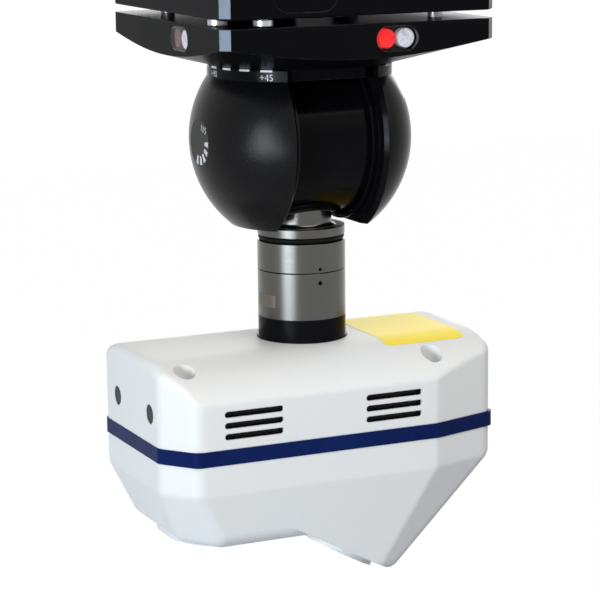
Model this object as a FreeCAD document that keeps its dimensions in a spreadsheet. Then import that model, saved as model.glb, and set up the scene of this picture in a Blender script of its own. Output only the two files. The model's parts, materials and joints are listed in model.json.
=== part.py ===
import FreeCAD, Part
import Sketcher
import math
import os
import re

# Laser scanner hanging from a two-axis indexing head.
# The head is drawn about the centre of its ball, where both axes cross.
# The scanner is drawn about the point where its collar meets the flat of its roof.
# The finished frame has its origin at the middle of the adjuster block's top face, +Z up,
# with the scanner's long side along X and its front towards -Y.

sizes = {
    # adjuster block and head plate
    "plate_side": 80.6,
    "plate_chamfer": 2.35,
    "plate_top": 34.1,
    "plate_rim": 28.9,
    "plate_foot": 21.1,
    "plate_foot_radius": 26.0,
    "block_gap": 2.2,
    "block_height": 22.0,
    "block_bore": 14.0,
    "block_edge": 0.6,
    "bolt_spacing": 60.0,
    "bolt_hole_radius": 2.5,
    "bolt_hole_depth": 12.0,
    "badge_length": 18.4,
    "badge_height": 9.0,
    "badge_offset": 16.4,
    "badge_rise": 5.9,
    "badge_depth": 0.3,
    "pivot_edge": 12.3,
    "pivot_radius": 4.0,
    "adjuster_edge": 4.3,
    "adjuster_inset": 13.3,
    "adjuster_radius": 1.95,
    "adjuster_head": 2.7,
    "adjuster_depth": 8.0,
    "adjuster_tip": 0.6,
    "adjuster_tip_base": 1.4,
    "clamp_edge": 12.3,
    "clamp_radius": 2.0,
    "clamp_head": 3.5,
    "clamp_head_top": 31.0,
    "clamp_head_height": 4.0,
    "link_length": 20.0,
    "link_width": 7.0,
    "link_depth": 4.0,
    "link_edge": 13.3,
    # status windows in the plate's faces
    "lamp_offset": 10.3,
    "lamp_level": 29.8,
    "lamp_length": 12.2,
    "lamp_height": 6.6,
    "lamp_pocket": 4.2,
    "lens_thick": 1.2,
    "lamp_radius": 2.6,
    "lamp_board": 0.8,
    # fits
    "turn_gap": 0.3,
    "seat_gap": 0.05,
    "running_gap": 0.05,
    # vertical axis
    "spindle_radius": 12.5,
    "spindle_bore": 8.5,
    "bearing_low": 26.0,
    "bearing_high": 30.4,
    "inner_race": 1.5,
    "outer_race": 1.5,
    "race_space": 1.5,
    "bearing_ball": 0.7,
    "bearing_balls": 12,
    "nut_radius": 15.0,
    "nut_height": 2.4,
    "gear_module": 0.5,
    "pan_gear_teeth": 76,
    "pinion_teeth": 12,
    "pan_gear_low": 22.8,
    "pan_gear_high": 25.0,
    "mesh_slack": 0.25,
    "motor_radius": 4.6,
    "motor_top": 33.4,
    "pan_motor_angle": 135.0,
    # ball
    "ball_radius": 31.35,
    "ball_wall": 2.35,
    "neck_level": 17.7,
    "neck_front_inset": 2.6,
    "ball_foot": 24.2,
    "cheek_floor": 2.0,
    "slot_half": 12.9,
    "cheek_bevel": 1.1,
    "cheek_wall": 2.6,
    "lip_step": 2.0,
    "lip_reach": 1.9,
    "lip_wall": 1.0,
    "scale_ring_radius": 25.95,
    "scale_ring_wall": 3.05,
    "scale_gap_half": 13.6,
    "disc_radius": 6.5,
    "disc_depth": 0.75,
    "rear_cover_front": 13.4,
    # tilt axis
    "drum_inset": 9.35,
    "drum_half": 13.6,
    "drum_edge": 0.5,
    "shaft_radius": 5.0,
    "shaft_half": 23.6,
    "arm_thick": 2.7,
    "arm_radius": 17.4,
    "arm_post_half": 11.0,
    "tilt_bearing_radius": 8.0,
    "tilt_gear_offset": 2.5,
    "motor_shaft_radius": 1.0,
    "pan_shaft_length": 2.5,
    "pan_shaft_hole": 3.0,
    "tilt_shaft_length": 1.6,
    "tilt_shaft_hole": 2.0,
    "tooth_foot": 1.2,
    "tooth_head": 0.9,
    "tooth_foot_share": 0.28,
    "tooth_head_share": 0.1,
    "tilt_gear_teeth": 40,
    "tilt_gear_thick": 2.0,
    "tilt_motor_radius": 4.0,
    "tilt_motor_angle": 0.0,
    # quick-change joint
    "joint_radius": 12.5,
    "stem_radius": 8.7,
    "stem_flare": 1.2,
    "stem_socket": 8.0,
    "cable_bore": 5.0,
    "flange_top": 25.1,
    "flange_radius": 12.4,
    "flange_thick": 2.33,
    "seal_thick": 1.76,
    "seal_radius": 12.23,
    "joint_seam": 37.4,
    "seam_gap": 0.3,
    "socket_radius": 9.2,
    "socket_depth": 6.0,
    "spigot_gap": 0.3,
    "socket_board": 1.2,
    "contact_pin": 0.4,
    "contact_pins": 10,
    "contact_circle": 6.2,
    "contact_length": 1.0,
    "seat_ball": 1.0,
    "seat_circle": 10.9,
    "seat_pad": 1.2,
    "joint_foot": 50.73,
    "seat_first_angle": 30.0,
    "seat_count": 3,
    "seat_pocket_depth": 1.4,
    "seat_sink": 0.4,
    "cam_rise": 6.53,
    "cam_radius": 2.8,
    "cam_length": 9.0,
    "cam_socket": 2.5,
    "collar_height": 6.47,
    "collar_foot_radius": 12.96,
    "collar_foot_height": 0.7,
    "collar_spigot": 9.5,
    "collar_spigot_depth": 6.0,
    # scanner covers
    "cover_left": 52.6,
    "cover_right": 49.2,
    "cover_half": 29.8,
    "left_corner_x": 7.53,
    "left_corner_y": 9.78,
    "right_corner_x": 21.2,
    "right_corner_y": 6.23,
    "cover_wall": 2.0,
    "band_top": 22.76,
    "band_foot": 27.0,
    "band_proud": 0.2,
    "roof_flat_half": 11.0,
    "roof_drop": 10.0,
    "corner_round": 2.5,
    "roof_round": 5.0,
    "roof_blend": 14.0,
    "crease_level": 35.6,
    "skirt_round": 5.0,
    "nose_level": 66.3,
    "left_corner_share": 0.4,
    "right_corner_share": 0.7,
    "slant_end_share": 0.6,
    "left_corner_growth": 0.24,
    "right_corner_loss": 0.45,
    "left_slope": 0.45,
    "right_slope": 1.02,
    "front_slope": 0.15,
    "pod_level": 51.9,
    "pod_end": 9.2,
    "slant_end": 14.9,
    "slant_level": 65.1,
    "nose_end": 18.6,
    "nose_low": 66.2,
    "pocket_left": 44.0,
    "pocket_right": 31.3,
    "pocket_half": 19.2,
    "pocket_radius": 3.0,
    "pocket_floor": 10.4,
    "cap_thick": 1.0,
    "screw_radius": 1.5,
    "screw_head": 2.6,
    "screw_head_height": 2.0,
    "vent_length": 17.4,
    "vent_height": 1.45,
    "vent_pitch": 3.1,
    "vent_level": 13.1,
    "vent_rows": 3,
    "vent_left": 28.2,
    "vent_right": 14.5,
    "screen_thick": 0.5,
    "screen_margin": 2.0,
    "plug_radius": 2.75,
    "plug_level": 14.5,
    "plug_back": 11.0,
    "plug_front": 13.8,
    "plug_depth": 2.4,
    "plug_recess": 0.3,
    # scanner inside
    "chassis_thick": 2.5,
    "chassis_margin": 3.4,
    "post_radius": 3.6,
    "mast_radius": 12.0,
    "board_thick": 1.6,
    "board_rise": 3.0,
    "board_left": 42.0,
    "board_right": 30.0,
    "board_half": 20.0,
    "fin_count": 9,
    "fin_pitch": 2.4,
    "fin_thick": 0.9,
    "fin_height": 6.0,
    "fin_depth": 14.0,
    "fin_base": 1.5,
    "laser_centre": 28.0,
    "laser_half_x": 10.0,
    "laser_half_y": 15.0,
    "laser_bezel_width": 31.0,
    "bezel_step": 2.0,
    "laser_bezel_span": 38.0,
    "laser_bezel_thick": 1.6,
    "laser_window_width": 12.0,
    "laser_window_span": 26.0,
    "window_thick": 1.5,
    "window_recess": 0.5,
    "laser_barrel": 5.0,
    "camera_bezel_width": 23.0,
    "camera_bezel_span": 46.0,
    "camera_bezel_thick": 1.6,
    "camera_shift": 2.2,
    "camera_window_width": 14.0,
    "camera_window_span": 32.0,
    "camera_barrel": 6.5,
    "camera_barrel_length": 7.0,
    "camera_half": 9.0,
    "camera_box_height": 10.0,
    "camera_bracket_drop": 6.0,
    # how far a cutting shape reaches past what it cuts
    "blank_margin": 5.0,
    "cut_margin": 1.0,
}

os.makedirs("parts", exist_ok=True)
doc = FreeCAD.newDocument("LaserScanner")
sheet = doc.addObject("Spreadsheet::Sheet", "Sizes")
for row, (name, amount) in enumerate(sizes.items(), start=1):
    sheet.set(f"A{row}", name)
    sheet.set(f"B{row}", str(amount))
    sheet.setAlias(f"B{row}", name)
doc.recompute()

# Sizes that follow from others
follows = {
    "pivot_offset": "(plate_side / 2 - pivot_edge)",
    "adjuster_far": "(plate_side / 2 - adjuster_edge)",
    "adjuster_near": "(plate_side / 2 - adjuster_inset)",
    "clamp_offset": "(plate_side / 2 - clamp_edge)",
    "link_offset": "(plate_side / 2 - link_edge)",
    "drum_radius": "(ball_radius - drum_inset)",
    "lip_radius": "(ball_radius - drum_inset + lip_step)",
    "neck_radius": "(scale_ring_radius - scale_ring_wall)",
    "neck_front": "(scale_ring_radius - scale_ring_wall - neck_front_inset)",
    "roof_level": "(joint_foot + collar_height)",
    "cam_level": "(joint_foot - cam_rise)",
}

sub_parts = []
placed_types = ("Part::Box", "Part::Cylinder", "Part::Sphere")
alias_word = re.compile(r"\b(" + "|".join(sizes) + r")\b")
follow_word = re.compile(r"\b(" + "|".join(follows) + r")\b")


def spelled(formula):
    """The formula with every size that follows from others written out."""
    return follow_word.sub(lambda match: follows[match.group()], str(formula))


def linked(formula):
    """The formula with every size pointed at its cell of the sheet."""
    return alias_word.sub(r"Sizes.\1", spelled(formula))


def value(formula):
    """The formula worked out now, as a number."""
    return float(sheet.evalExpression(spelled(formula)))


def bind(thing, **formulas):
    for prop, formula in formulas.items():
        thing.setExpression(prop, linked(formula))
    return thing


def place(thing, x="0", y="0", z="0"):
    """Binds the three coordinates of a thing's placement."""
    for axis, formula in (("x", x), ("y", y), ("z", z)):
        thing.setExpression("Placement.Base." + axis, linked(formula))
    return thing


# Frames: where the two drawing origins lie below the top mounting face

head_origin = "-(plate_top + block_gap + block_height)"
scanner_origin = head_origin + " - roof_level"


def quarter_turn(quarter):
    return FreeCAD.Rotation(FreeCAD.Vector(0, 0, 1), 90 * quarter)


def keep(thing, label, origin=head_origin, quarter=0):
    """Names a sub-part and puts it in the finished frame, turned to one of the four faces."""
    if thing.TypeId in placed_types:
        thing = group(thing)
    thing.Label = label
    turned(thing, quarter)
    place(thing, z=origin)
    sub_parts.append(thing)
    return thing


# Primitives, each told by its faces or its axis

axis_turns = {
    "X": FreeCAD.Rotation(FreeCAD.Vector(0, 1, 0), 90),
    "Y": FreeCAD.Rotation(FreeCAD.Vector(1, 0, 0), -90),
    "Z": FreeCAD.Rotation(),
}


def block(x, y, z):
    """A box between two faces along each axis."""
    box = doc.addObject("Part::Box", "Block")
    bind(box, Length=f"({x[1]}) - ({x[0]})", Width=f"({y[1]}) - ({y[0]})", Height=f"({z[1]}) - ({z[0]})")
    return place(box, x[0], y[0], z[0])


def along(thing, axis, start, at):
    """Turns a thing that stands on Z to lie along an axis, from a start point on it."""
    thing.Placement = FreeCAD.Placement(FreeCAD.Vector(0, 0, 0), axis_turns[axis])
    spots = {"X": (start, at[0], at[1]), "Y": (at[0], start, at[1]), "Z": (at[0], at[1], start)}
    return place(thing, *spots[axis])


def rod(axis, radius, start, end, at=("0", "0")):
    cylinder = doc.addObject("Part::Cylinder", "Rod")
    bind(cylinder, Radius=radius, Height=f"({end}) - ({start})")
    return along(cylinder, axis, start, at)


def cone(axis, radius_start, radius_end, start, end, at=("0", "0")):
    taper = doc.addObject("Part::Cone", "Taper")
    bind(taper, Radius1=radius_start, Radius2=radius_end, Height=f"({end}) - ({start})")
    return along(taper, axis, start, at)


def ball(radius, x="0", y="0", z="0"):
    sphere = doc.addObject("Part::Sphere", "Ball")
    bind(sphere, Radius=radius)
    return place(sphere, x, y, z)


def fuse(*pieces):
    joined = doc.addObject("Part::MultiFuse", "Joined")
    joined.Shapes = list(pieces)
    return joined


def common(*pieces):
    shared = doc.addObject("Part::MultiCommon", "Shared")
    shared.Shapes = list(pieces)
    return shared


def cut(base, *tools):
    trimmed = doc.addObject("Part::Cut", "Trimmed")
    trimmed.Base = base
    trimmed.Tool = tools[0] if len(tools) == 1 else fuse(*tools)
    return trimmed


def group(*pieces):
    """Separate solids that share one node."""
    bundle = doc.addObject("Part::Compound", "Group")
    bundle.Links = list(pieces)
    return bundle


def ring(axis, outer, inner, start, end, at=("0", "0")):
    return cut(rod(axis, outer, start, end, at), rod(axis, inner, start, end, at))


def polar(radius, angle):
    """Formulas of the point at a radius and an angle in degrees."""
    return f"({radius}) * cos(({angle}) * 1 deg)", f"({radius}) * sin(({angle}) * 1 deg)"


# Bodies drawn from sketches

def origin_plane(body, role):
    return next(plane for plane in body.Origin.OriginFeatures if plane.Role == role)


def arc_centre(start, end, radius, side):
    """The centre of an arc between two points, on the left of the chord for side 1."""
    chord = end - start
    middle = (start + end) * 0.5
    across = FreeCAD.Vector(-chord.y, chord.x, 0).normalize()
    return middle + across * side * math.sqrt(radius ** 2 - (chord.Length / 2) ** 2)


def outline(body, role, corners, offset="0"):
    """A closed sketch with every corner held by formulas.

    A corner is (across, up), or (across, up, radius, side) where an arc leads to the next one.
    """
    sketch = body.newObject("Sketcher::SketchObject", "Outline")
    sketch.AttachmentSupport = (origin_plane(body, role), [""])
    sketch.MapMode = "FlatFace"
    sketch.setExpression("AttachmentOffset.Base.z", linked(offset))
    points = [FreeCAD.Vector(value(corner[0]), value(corner[1]), 0) for corner in corners]
    starts = []
    ends = []
    for index, corner in enumerate(corners):
        start = points[index]
        end = points[(index + 1) % len(points)]
        if len(corner) == 2:
            edge = sketch.addGeometry(Part.LineSegment(start, end))
            starts.append((edge, 1))
            ends.append((edge, 2))
            continue
        radius = value(corner[2])
        centre = arc_centre(start, end, radius, corner[3])
        first, last = (start, end) if corner[3] > 0 else (end, start)
        angles = [math.atan2(point.y - centre.y, point.x - centre.x) for point in (first, last)]
        if angles[1] < angles[0]:
            angles[1] += 2 * math.pi
        circle = Part.Circle(centre, FreeCAD.Vector(0, 0, 1), radius)
        edge = sketch.addGeometry(Part.ArcOfCircle(circle, angles[0], angles[1]))
        starts.append((edge, 1 if corner[3] > 0 else 2))
        ends.append((edge, 2 if corner[3] > 0 else 1))
        number = sketch.addConstraint(Sketcher.Constraint("Radius", edge, radius))
        sketch.setExpression(f"Constraints[{number}]", linked(corner[2]))
    for index, corner in enumerate(corners):
        following = starts[(index + 1) % len(corners)]
        sketch.addConstraint(Sketcher.Constraint("Coincident", *ends[index], *following))
        for kind, formula, number in (("DistanceX", corner[0], points[index].x),
                                      ("DistanceY", corner[1], points[index].y)):
            held = sketch.addConstraint(Sketcher.Constraint(kind, -1, 1, *starts[index], number))
            sketch.setExpression(f"Constraints[{held}]", linked(formula))
    return sketch


def new_body():
    return doc.addObject("PartDesign::Body", "Body")


def pad(body, sketch, length, down=False):
    feature = body.newObject("PartDesign::Pad", "Pad")
    feature.Profile = sketch
    feature.Reversed = down
    bind(feature, Length=length)
    return feature


def pocket_through(body, sketch):
    feature = body.newObject("PartDesign::Pocket", "Pocket")
    feature.Profile = sketch
    feature.Type = "ThroughAll"
    feature.SideType = "Symmetric"
    return feature


def revolve(role, corners, about):
    """A body turned from a half profile about the sketch's H_Axis or V_Axis."""
    body = new_body()
    sketch = outline(body, role, corners)
    feature = body.newObject("PartDesign::Revolution", "Turned")
    feature.Profile = sketch
    feature.ReferenceAxis = (sketch, [about])
    feature.Angle = 360
    return body


def rounded(body, radius, chosen):
    """Fillets the edges of the body's tip that a test picks."""
    doc.recompute()
    tip = body.Tip
    names = [f"Edge{number}" for number, edge in enumerate(tip.Shape.Edges, start=1) if chosen(edge)]
    feature = body.newObject("PartDesign::Fillet", "Rounded")
    feature.Base = (tip, names)
    bind(feature, Radius=radius)
    return feature


# Picking edges: how near an axis a straight one runs, how steep a leaning one is, how near a level

straight = 0.99
steeper = 0.6
level_match = 0.01


def on_level(edge, depth):
    return abs(edge.CenterOfMass.z + value(depth)) < level_match


def direction(edge):
    ends = [vertex.Point for vertex in edge.Vertexes]
    return (ends[-1] - ends[0]).normalize() if len(ends) > 1 else FreeCAD.Vector(0, 0, 0)


# Adjuster block, bolted to the machine by its top face

half_side = "plate_side / 2"
block_foot = "plate_top + block_gap"
block_top = "plate_top + block_gap + block_height"


def square_corners():
    """The plan of the block and the plate: a square with its four corners cut."""
    edge = half_side
    inner = "plate_side / 2 - plate_chamfer"
    return [(f"-({inner})", f"-({edge})"), (inner, f"-({edge})"), (edge, f"-({inner})"), (edge, inner),
            (inner, edge), (f"-({inner})", edge), (f"-({edge})", inner), (f"-({edge})", f"-({inner})")]


def square_prism(low, high):
    body = new_body()
    pad(body, outline(body, "XY_Plane", square_corners(), low), f"({high}) - ({low})")
    return body


def obround(length, width, start, end, at=("0", "0")):
    """A bar along Y with round ends, long along X."""
    reach = f"({length} - {width}) / 2"
    flat = f"({width}) / 2"
    ends = [rod("Y", flat, start, end, (f"{at[0]} {sign} {reach}", at[1])) for sign in "-+"]
    middle = block((f"{at[0]} - {reach}", f"{at[0]} + {reach}"), (start, end),
                   (f"{at[1]} - {flat}", f"{at[1]} + {flat}"))
    return fuse(middle, *ends)


def window_bar(span, width, start, end, x="0"):
    """A bar along Z with round ends, long along Y."""
    reach = f"(({span}) - ({width})) / 2"
    flat = f"({width}) / 2"
    ends = [rod("Z", flat, start, end, (x, f"{sign}({reach})")) for sign in "-+"]
    middle = block((f"{x} - {flat}", f"{x} + {flat}"), (f"-({reach})", reach), (start, end))
    return fuse(middle, *ends)


def adjuster_block():
    body = square_prism(block_foot, block_top)
    rounded(body, "block_edge", lambda edge: on_level(edge, f"-({block_foot})"))
    holes = [rod("Z", "block_bore", block_foot, block_top)]
    for sign_x in "-+":
        for sign_y in "-+":
            spot = (f"{sign_x}bolt_spacing / 2", f"{sign_y}bolt_spacing / 2")
            holes.append(rod("Z", "bolt_hole_radius", f"{block_top} - bolt_hole_depth", block_top, spot))
    for spot in adjuster_spots:
        holes.append(rod("Z", "adjuster_radius + running_gap", block_foot,
                         f"{block_foot} + adjuster_depth + seat_gap", spot))
    for spot in clamp_spots:
        holes.append(rod("Z", "clamp_radius", block_foot, f"{block_foot} + adjuster_depth", spot))
    holes.append(ball("pivot_radius + seat_gap", "pivot_offset", "pivot_offset", pivot_level))
    holes.append(block(*link_span(), (block_foot, f"{block_foot} + link_depth")))
    holes.append(obround("badge_length", "badge_height", f"-({half_side})",
                         f"-({half_side}) + badge_depth", ("-badge_offset", f"{block_foot} + badge_rise")))
    keep(cut(body, *holes), "adjuster_block")


pivot_level = "plate_top + block_gap / 2"
adjuster_spots = [("-adjuster_far", "-adjuster_near"), ("-adjuster_near", "-adjuster_far")]
clamp_spots = [("-clamp_offset", "clamp_offset"), ("clamp_offset", "-clamp_offset")]


def link_span():
    return ("-link_length / 2", "link_length / 2"), ("link_offset - link_width / 2", "link_offset + link_width / 2")


def adjusting_screw(label, spot):
    """A thumb screw whose tip bears on the plate and whose thread runs up into the block."""
    shank = rod("Z", "adjuster_radius", f"{block_foot} - turn_gap", f"{block_foot} + adjuster_depth", spot)
    head = rod("Z", "adjuster_head", "plate_top + turn_gap", f"{block_foot} - turn_gap", spot)
    tip = cone("Z", "adjuster_tip", "adjuster_tip_base", "plate_top + seat_gap", "plate_top + turn_gap", spot)
    keep(fuse(shank, head, tip), label)


def clamp_screws():
    """Cap screws from below the plate into the block, with their heads in counterbores."""
    screws = []
    for spot in clamp_spots:
        shank = rod("Z", "clamp_radius", "clamp_head_top", f"{block_foot} + adjuster_depth", spot)
        head = rod("Z", "clamp_head", "clamp_head_top - clamp_head_height", "clamp_head_top", spot)
        recess = rod("Z", "clamp_radius", "clamp_head_top - clamp_head_height",
                     "clamp_head_top - clamp_head_height / 2", spot)
        screws.append(cut(fuse(shank, head), recess))
    keep(group(*screws), "clamp_screws")


def link_connector():
    keep(block(*link_span(), ("plate_top - link_depth", f"{block_foot} + link_depth")), "link_connector")


# Head plate with a coned underside and a status window in each face

pitch_pan = "gear_module * pan_gear_teeth / 2"
pitch_pinion = "gear_module * pinion_teeth / 2"
pitch_tilt = "gear_module * tilt_gear_teeth / 2"
pan_motor_spot = polar(f"{pitch_pan} + {pitch_pinion} + mesh_slack", "pan_motor_angle")
bearing_outer = "spindle_radius + inner_race + race_space + outer_race"


def head_plate():
    """The square plate, its underside a cone that runs down to the neck."""
    corner_radius = f"({half_side}) * sqrt(2)"
    cone_body = revolve("XZ_Plane", [("0", "plate_foot"), ("plate_foot_radius", "plate_foot"),
                                     (corner_radius, "plate_rim"), (corner_radius, "plate_top"),
                                     ("0", "plate_top")], "V_Axis")
    blank = common(cone_body, square_prism("plate_foot", "plate_top"))
    hollow = [
        rod("Z", f"{pitch_pan} + gear_module + turn_gap", "plate_foot", "pan_gear_high + turn_gap"),
        rod("Z", bearing_outer, "pan_gear_high + turn_gap", "bearing_high"),
        rod("Z", "nut_radius + turn_gap", "bearing_high", "plate_top"),
        rod("Z", f"{pitch_pinion} + gear_module + turn_gap", "pan_gear_low - turn_gap",
            "pan_gear_high + turn_gap", pan_motor_spot),
        rod("Z", "motor_radius", "pan_gear_high + turn_gap", "plate_top", pan_motor_spot),
        ball("pivot_radius + seat_gap", "pivot_offset", "pivot_offset", pivot_level),
        block(*link_span(), ("plate_top - link_depth", "plate_top")),
    ]
    for spot in clamp_spots:
        hollow.append(rod("Z", "clamp_radius + running_gap", "plate_foot", "plate_top", spot))
        hollow.append(rod("Z", "clamp_head + running_gap", "plate_foot", "clamp_head_top", spot))
    for quarter in range(len(faces)):
        recess = obround("lamp_length + 2 * seat_gap", "lamp_height + 2 * seat_gap", f"-({half_side})",
                         f"-({half_side}) + lamp_pocket", ("lamp_offset", "lamp_level"))
        hollow.append(turned(recess, quarter))
    keep(cut(blank, *hollow), "head_plate")


faces = ("front", "right", "back", "left")


def status_windows():
    """A clear obround lens in each face, flush with the plate."""
    for quarter, side in enumerate(faces):
        lens = obround("lamp_length", "lamp_height", f"-({half_side})", f"-({half_side}) + lens_thick",
                       ("lamp_offset", "lamp_level"))
        keep(lens, "status_window_" + side, quarter=quarter)


def turned(thing, quarter):
    """Turns a thing by quarter turns about the vertical axis, to one of the four faces."""
    thing.Placement = FreeCAD.Placement(FreeCAD.Vector(0, 0, 0), quarter_turn(quarter))
    return thing


def status_lamps(label, sign):
    """One round lamp behind each window, on its board."""
    lamps = []
    for quarter in range(len(faces)):
        spot = (f"lamp_offset {sign} (lamp_length - lamp_height) / 2", "lamp_level")
        lamp = rod("Y", "lamp_radius", f"-({half_side}) + lens_thick + seat_gap",
                   f"-({half_side}) + lamp_pocket - lamp_board", spot)
        lamps.append(turned(group(lamp), quarter))
    keep(group(*lamps), label)


def lamp_boards():
    boards = []
    for quarter in range(len(faces)):
        board = obround("lamp_length", "lamp_height", f"-({half_side}) + lamp_pocket - lamp_board",
                        f"-({half_side}) + lamp_pocket", ("lamp_offset", "lamp_level"))
        boards.append(turned(board, quarter))
    keep(group(*boards), "lamp_boards")


# Vertical axis: bearing in the plate, spindle below it, and the drive

def pan_bearing():
    outer_bore = "spindle_radius + inner_race + race_space"
    keep(ring("Z", bearing_outer, outer_bore, "bearing_low", "bearing_high"), "pan_bearing_outer")
    keep(ring("Z", "spindle_radius + inner_race", "spindle_radius", "bearing_low", "bearing_high"),
         "pan_bearing_inner")
    balls = []
    for index in range(sizes["bearing_balls"]):
        turn = f"360 / bearing_balls * {index}"
        x, y = polar("spindle_radius + inner_race + race_space / 2", turn)
        balls.append(ball("bearing_ball", x, y, "(bearing_low + bearing_high) / 2"))
    keep(group(*balls), "pan_bearing_balls")


def gear_shape(teeth, pitch, bore, thick, tooth_angle):
    """A spur gear on Z with straight-sided teeth, one of them pointing at tooth_angle."""
    module = value("gear_module")
    root = pitch - value("tooth_foot") * module
    tip = pitch + value("tooth_head") * module
    wide, narrow = value("tooth_foot_share"), value("tooth_head_share")
    step = 360 / teeth
    corners = []
    for tooth in range(teeth):
        middle = tooth_angle + tooth * step
        for radius, share in ((root, -wide), (tip, -narrow), (tip, narrow), (root, wide)):
            angle = math.radians(middle + share * step)
            corners.append(FreeCAD.Vector(radius * math.cos(angle), radius * math.sin(angle), 0))
    wheel = Part.Face(Part.makePolygon(corners + corners[:1])).extrude(FreeCAD.Vector(0, 0, thick))
    return wheel.cut(Part.makeCylinder(bore, thick)) if bore else wheel


def pinion_shape(pitch, thick, tooth_angle, shaft_length):
    """A pinion with its motor shaft standing on it."""
    shaft = Part.makeCylinder(value("motor_shaft_radius"), thick + value(shaft_length))
    return gear_shape(int(value("pinion_teeth")), pitch, 0, thick, tooth_angle).fuse(shaft)


def pan_drive():
    thick = value("pan_gear_high - pan_gear_low")
    angle = value("pan_motor_angle")
    gear = doc.addObject("Part::Feature", "PanGear")
    gear.Shape = gear_shape(int(value("pan_gear_teeth")), value(pitch_pan), value("spindle_radius"), thick, angle)
    lifted(gear, "0", "0", "pan_gear_low", "pan_gear")
    pinion = doc.addObject("Part::Feature", "PanPinion")
    half_step = 180 / value("pinion_teeth")
    pinion.Shape = pinion_shape(value(pitch_pinion), thick, angle + 180 + half_step, "pan_shaft_length")
    lifted(pinion, *pan_motor_spot, "pan_gear_low", "pan_pinion")
    motor_low = "pan_gear_high + turn_gap"
    shaft_hole = rod("Z", "motor_shaft_radius + running_gap", motor_low, f"{motor_low} + pan_shaft_hole",
                     pan_motor_spot)
    keep(cut(rod("Z", "motor_radius", motor_low, "motor_top", pan_motor_spot), shaft_hole), "pan_motor")


def lifted(thing, x, y, z, label):
    """Keeps a shape drawn on its own axis, at a point of the head."""
    keep(thing, label)
    place(thing, x, y, f"{head_origin} + {z}")


def spindle_nut():
    keep(ring("Z", "nut_radius", "spindle_radius", "bearing_high", "bearing_high + nut_height"), "spindle_nut")


# Ball: the yoke inside, two cheeks and a rear cover round it

neck_top = "plate_foot - turn_gap"
arm_start = "slot_half + cheek_wall + turn_gap"
arm_end = f"{arm_start} + arm_thick"
cavity_radius = "ball_radius - ball_wall"


def yoke():
    """Neck disc and hollow spindle, with an arm down into each cheek."""
    neck = rod("Z", "neck_radius", "neck_level", neck_top)
    shoulder = rod("Z", "spindle_radius + inner_race", neck_top, "pan_gear_low")
    spindle = rod("Z", "spindle_radius", neck_top, "bearing_high + nut_height")
    parts = [neck, shoulder, spindle]
    holes = [rod("Z", "spindle_bore", "0", "bearing_high + nut_height"),
             block(("-scale_gap_half", "scale_gap_half"), ("-neck_radius", "-neck_front"), ("neck_level", neck_top)),
             rod("X", "drum_radius + turn_gap", "-(drum_half + turn_gap)", "drum_half + turn_gap")]
    for sign in (-1, 1):
        span = side_span(arm_start, arm_end, sign)
        parts.append(rod("X", "arm_radius", *span))
        parts.append(block(span, ("-arm_post_half", "arm_post_half"), ("0", "neck_level")))
        holes.append(rod("X", "tilt_bearing_radius", *span))
    holes.append(rod("X", "tilt_motor_radius", *side_span(arm_start, arm_end, -1), tilt_motor_spot))
    keep(cut(fuse(*parts), *holes), "yoke")


def side_span(near, far, sign):
    """The span along X between two distances from the middle, on one side of it."""
    return (near, far) if sign > 0 else (f"-({far})", f"-({near})")


def cheek(label, sign, disc):
    """One side of the ball: a spherical cap with a lipped recess for the drum's end."""
    wall = "slot_half"
    back = "slot_half + cheek_wall"
    bevel = "slot_half + cheek_bevel"
    rim = f"sqrt(ball_radius ^ 2 - ({bevel}) ^ 2)"
    corners = [
        (wall, "lip_radius"),
        (wall, f"{rim} - cheek_bevel"),
        (bevel, rim, "ball_radius", -1),
    ]
    pole = "sqrt(ball_radius ^ 2 - disc_radius ^ 2)"
    if disc:
        corners += [(pole, "disc_radius"), (f"{pole} - disc_depth", "disc_radius"), (f"{pole} - disc_depth", "0")]
    else:
        corners += [("ball_radius", "0")]
    floor = "drum_half + turn_gap"
    corners += [(floor, "0"), (floor, "lip_radius - lip_wall"),
                ("slot_half - lip_reach", "lip_radius - lip_wall"), ("slot_half - lip_reach", "lip_radius")]
    if sign < 0:
        corners = [(f"-({corner[0]})", corner[1], *flipped(corner[2:])) for corner in corners]
    cap = revolve("XZ_Plane", corners, "H_Axis")
    span = side_span("0", "ball_radius", sign)
    reach = ("-ball_radius", "ball_radius")
    trimmed = common(cap, block(span, reach, ("-ball_foot", "neck_level")))
    cavity = common(ball(cavity_radius), block(side_span(back, "ball_radius", sign), reach,
                                               ("-(ball_foot - cheek_floor)", "neck_level")))
    shaft_hole = rod("X", "shaft_radius + turn_gap", *side_span("slot_half", back, sign))
    keep(cut(trimmed, cavity, shaft_hole), label)


def flipped(arc):
    return (arc[0], -arc[1]) if arc else ()


def rear_cover():
    """The shell that closes the ball behind the drum, between the cheeks."""
    shell = cut(ball("ball_radius"), ball(cavity_radius))
    span = ("-slot_half", "slot_half")
    keep(common(shell, block(span, ("rear_cover_front", "ball_radius"), ("-ball_foot", "neck_level"))),
         "rear_cover")


def scale_ring():
    """The degree ring round the neck, open at the front between the cheeks."""
    gap = block(("-scale_gap_half", "scale_gap_half"), ("-scale_ring_radius", "0"), ("neck_level", neck_top))
    keep(cut(ring("Z", "scale_ring_radius", "neck_radius", "neck_level", neck_top), gap), "scale_ring")


def tilt_disc():
    pole = "sqrt(ball_radius ^ 2 - disc_radius ^ 2)"
    keep(rod("X", "disc_radius - seat_gap", f"-({pole})", f"-({pole} - disc_depth)"), "tilt_scale_disc")


# Tilt axis: drum, shaft, bearings and drive

tilt_gear_start = f"{arm_end} + tilt_gear_offset"
tilt_gear_end = f"{tilt_gear_start} + tilt_gear_thick"
tilt_motor_spot = polar(f"{pitch_tilt} + {pitch_pinion} + mesh_slack", "tilt_motor_angle")


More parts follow.
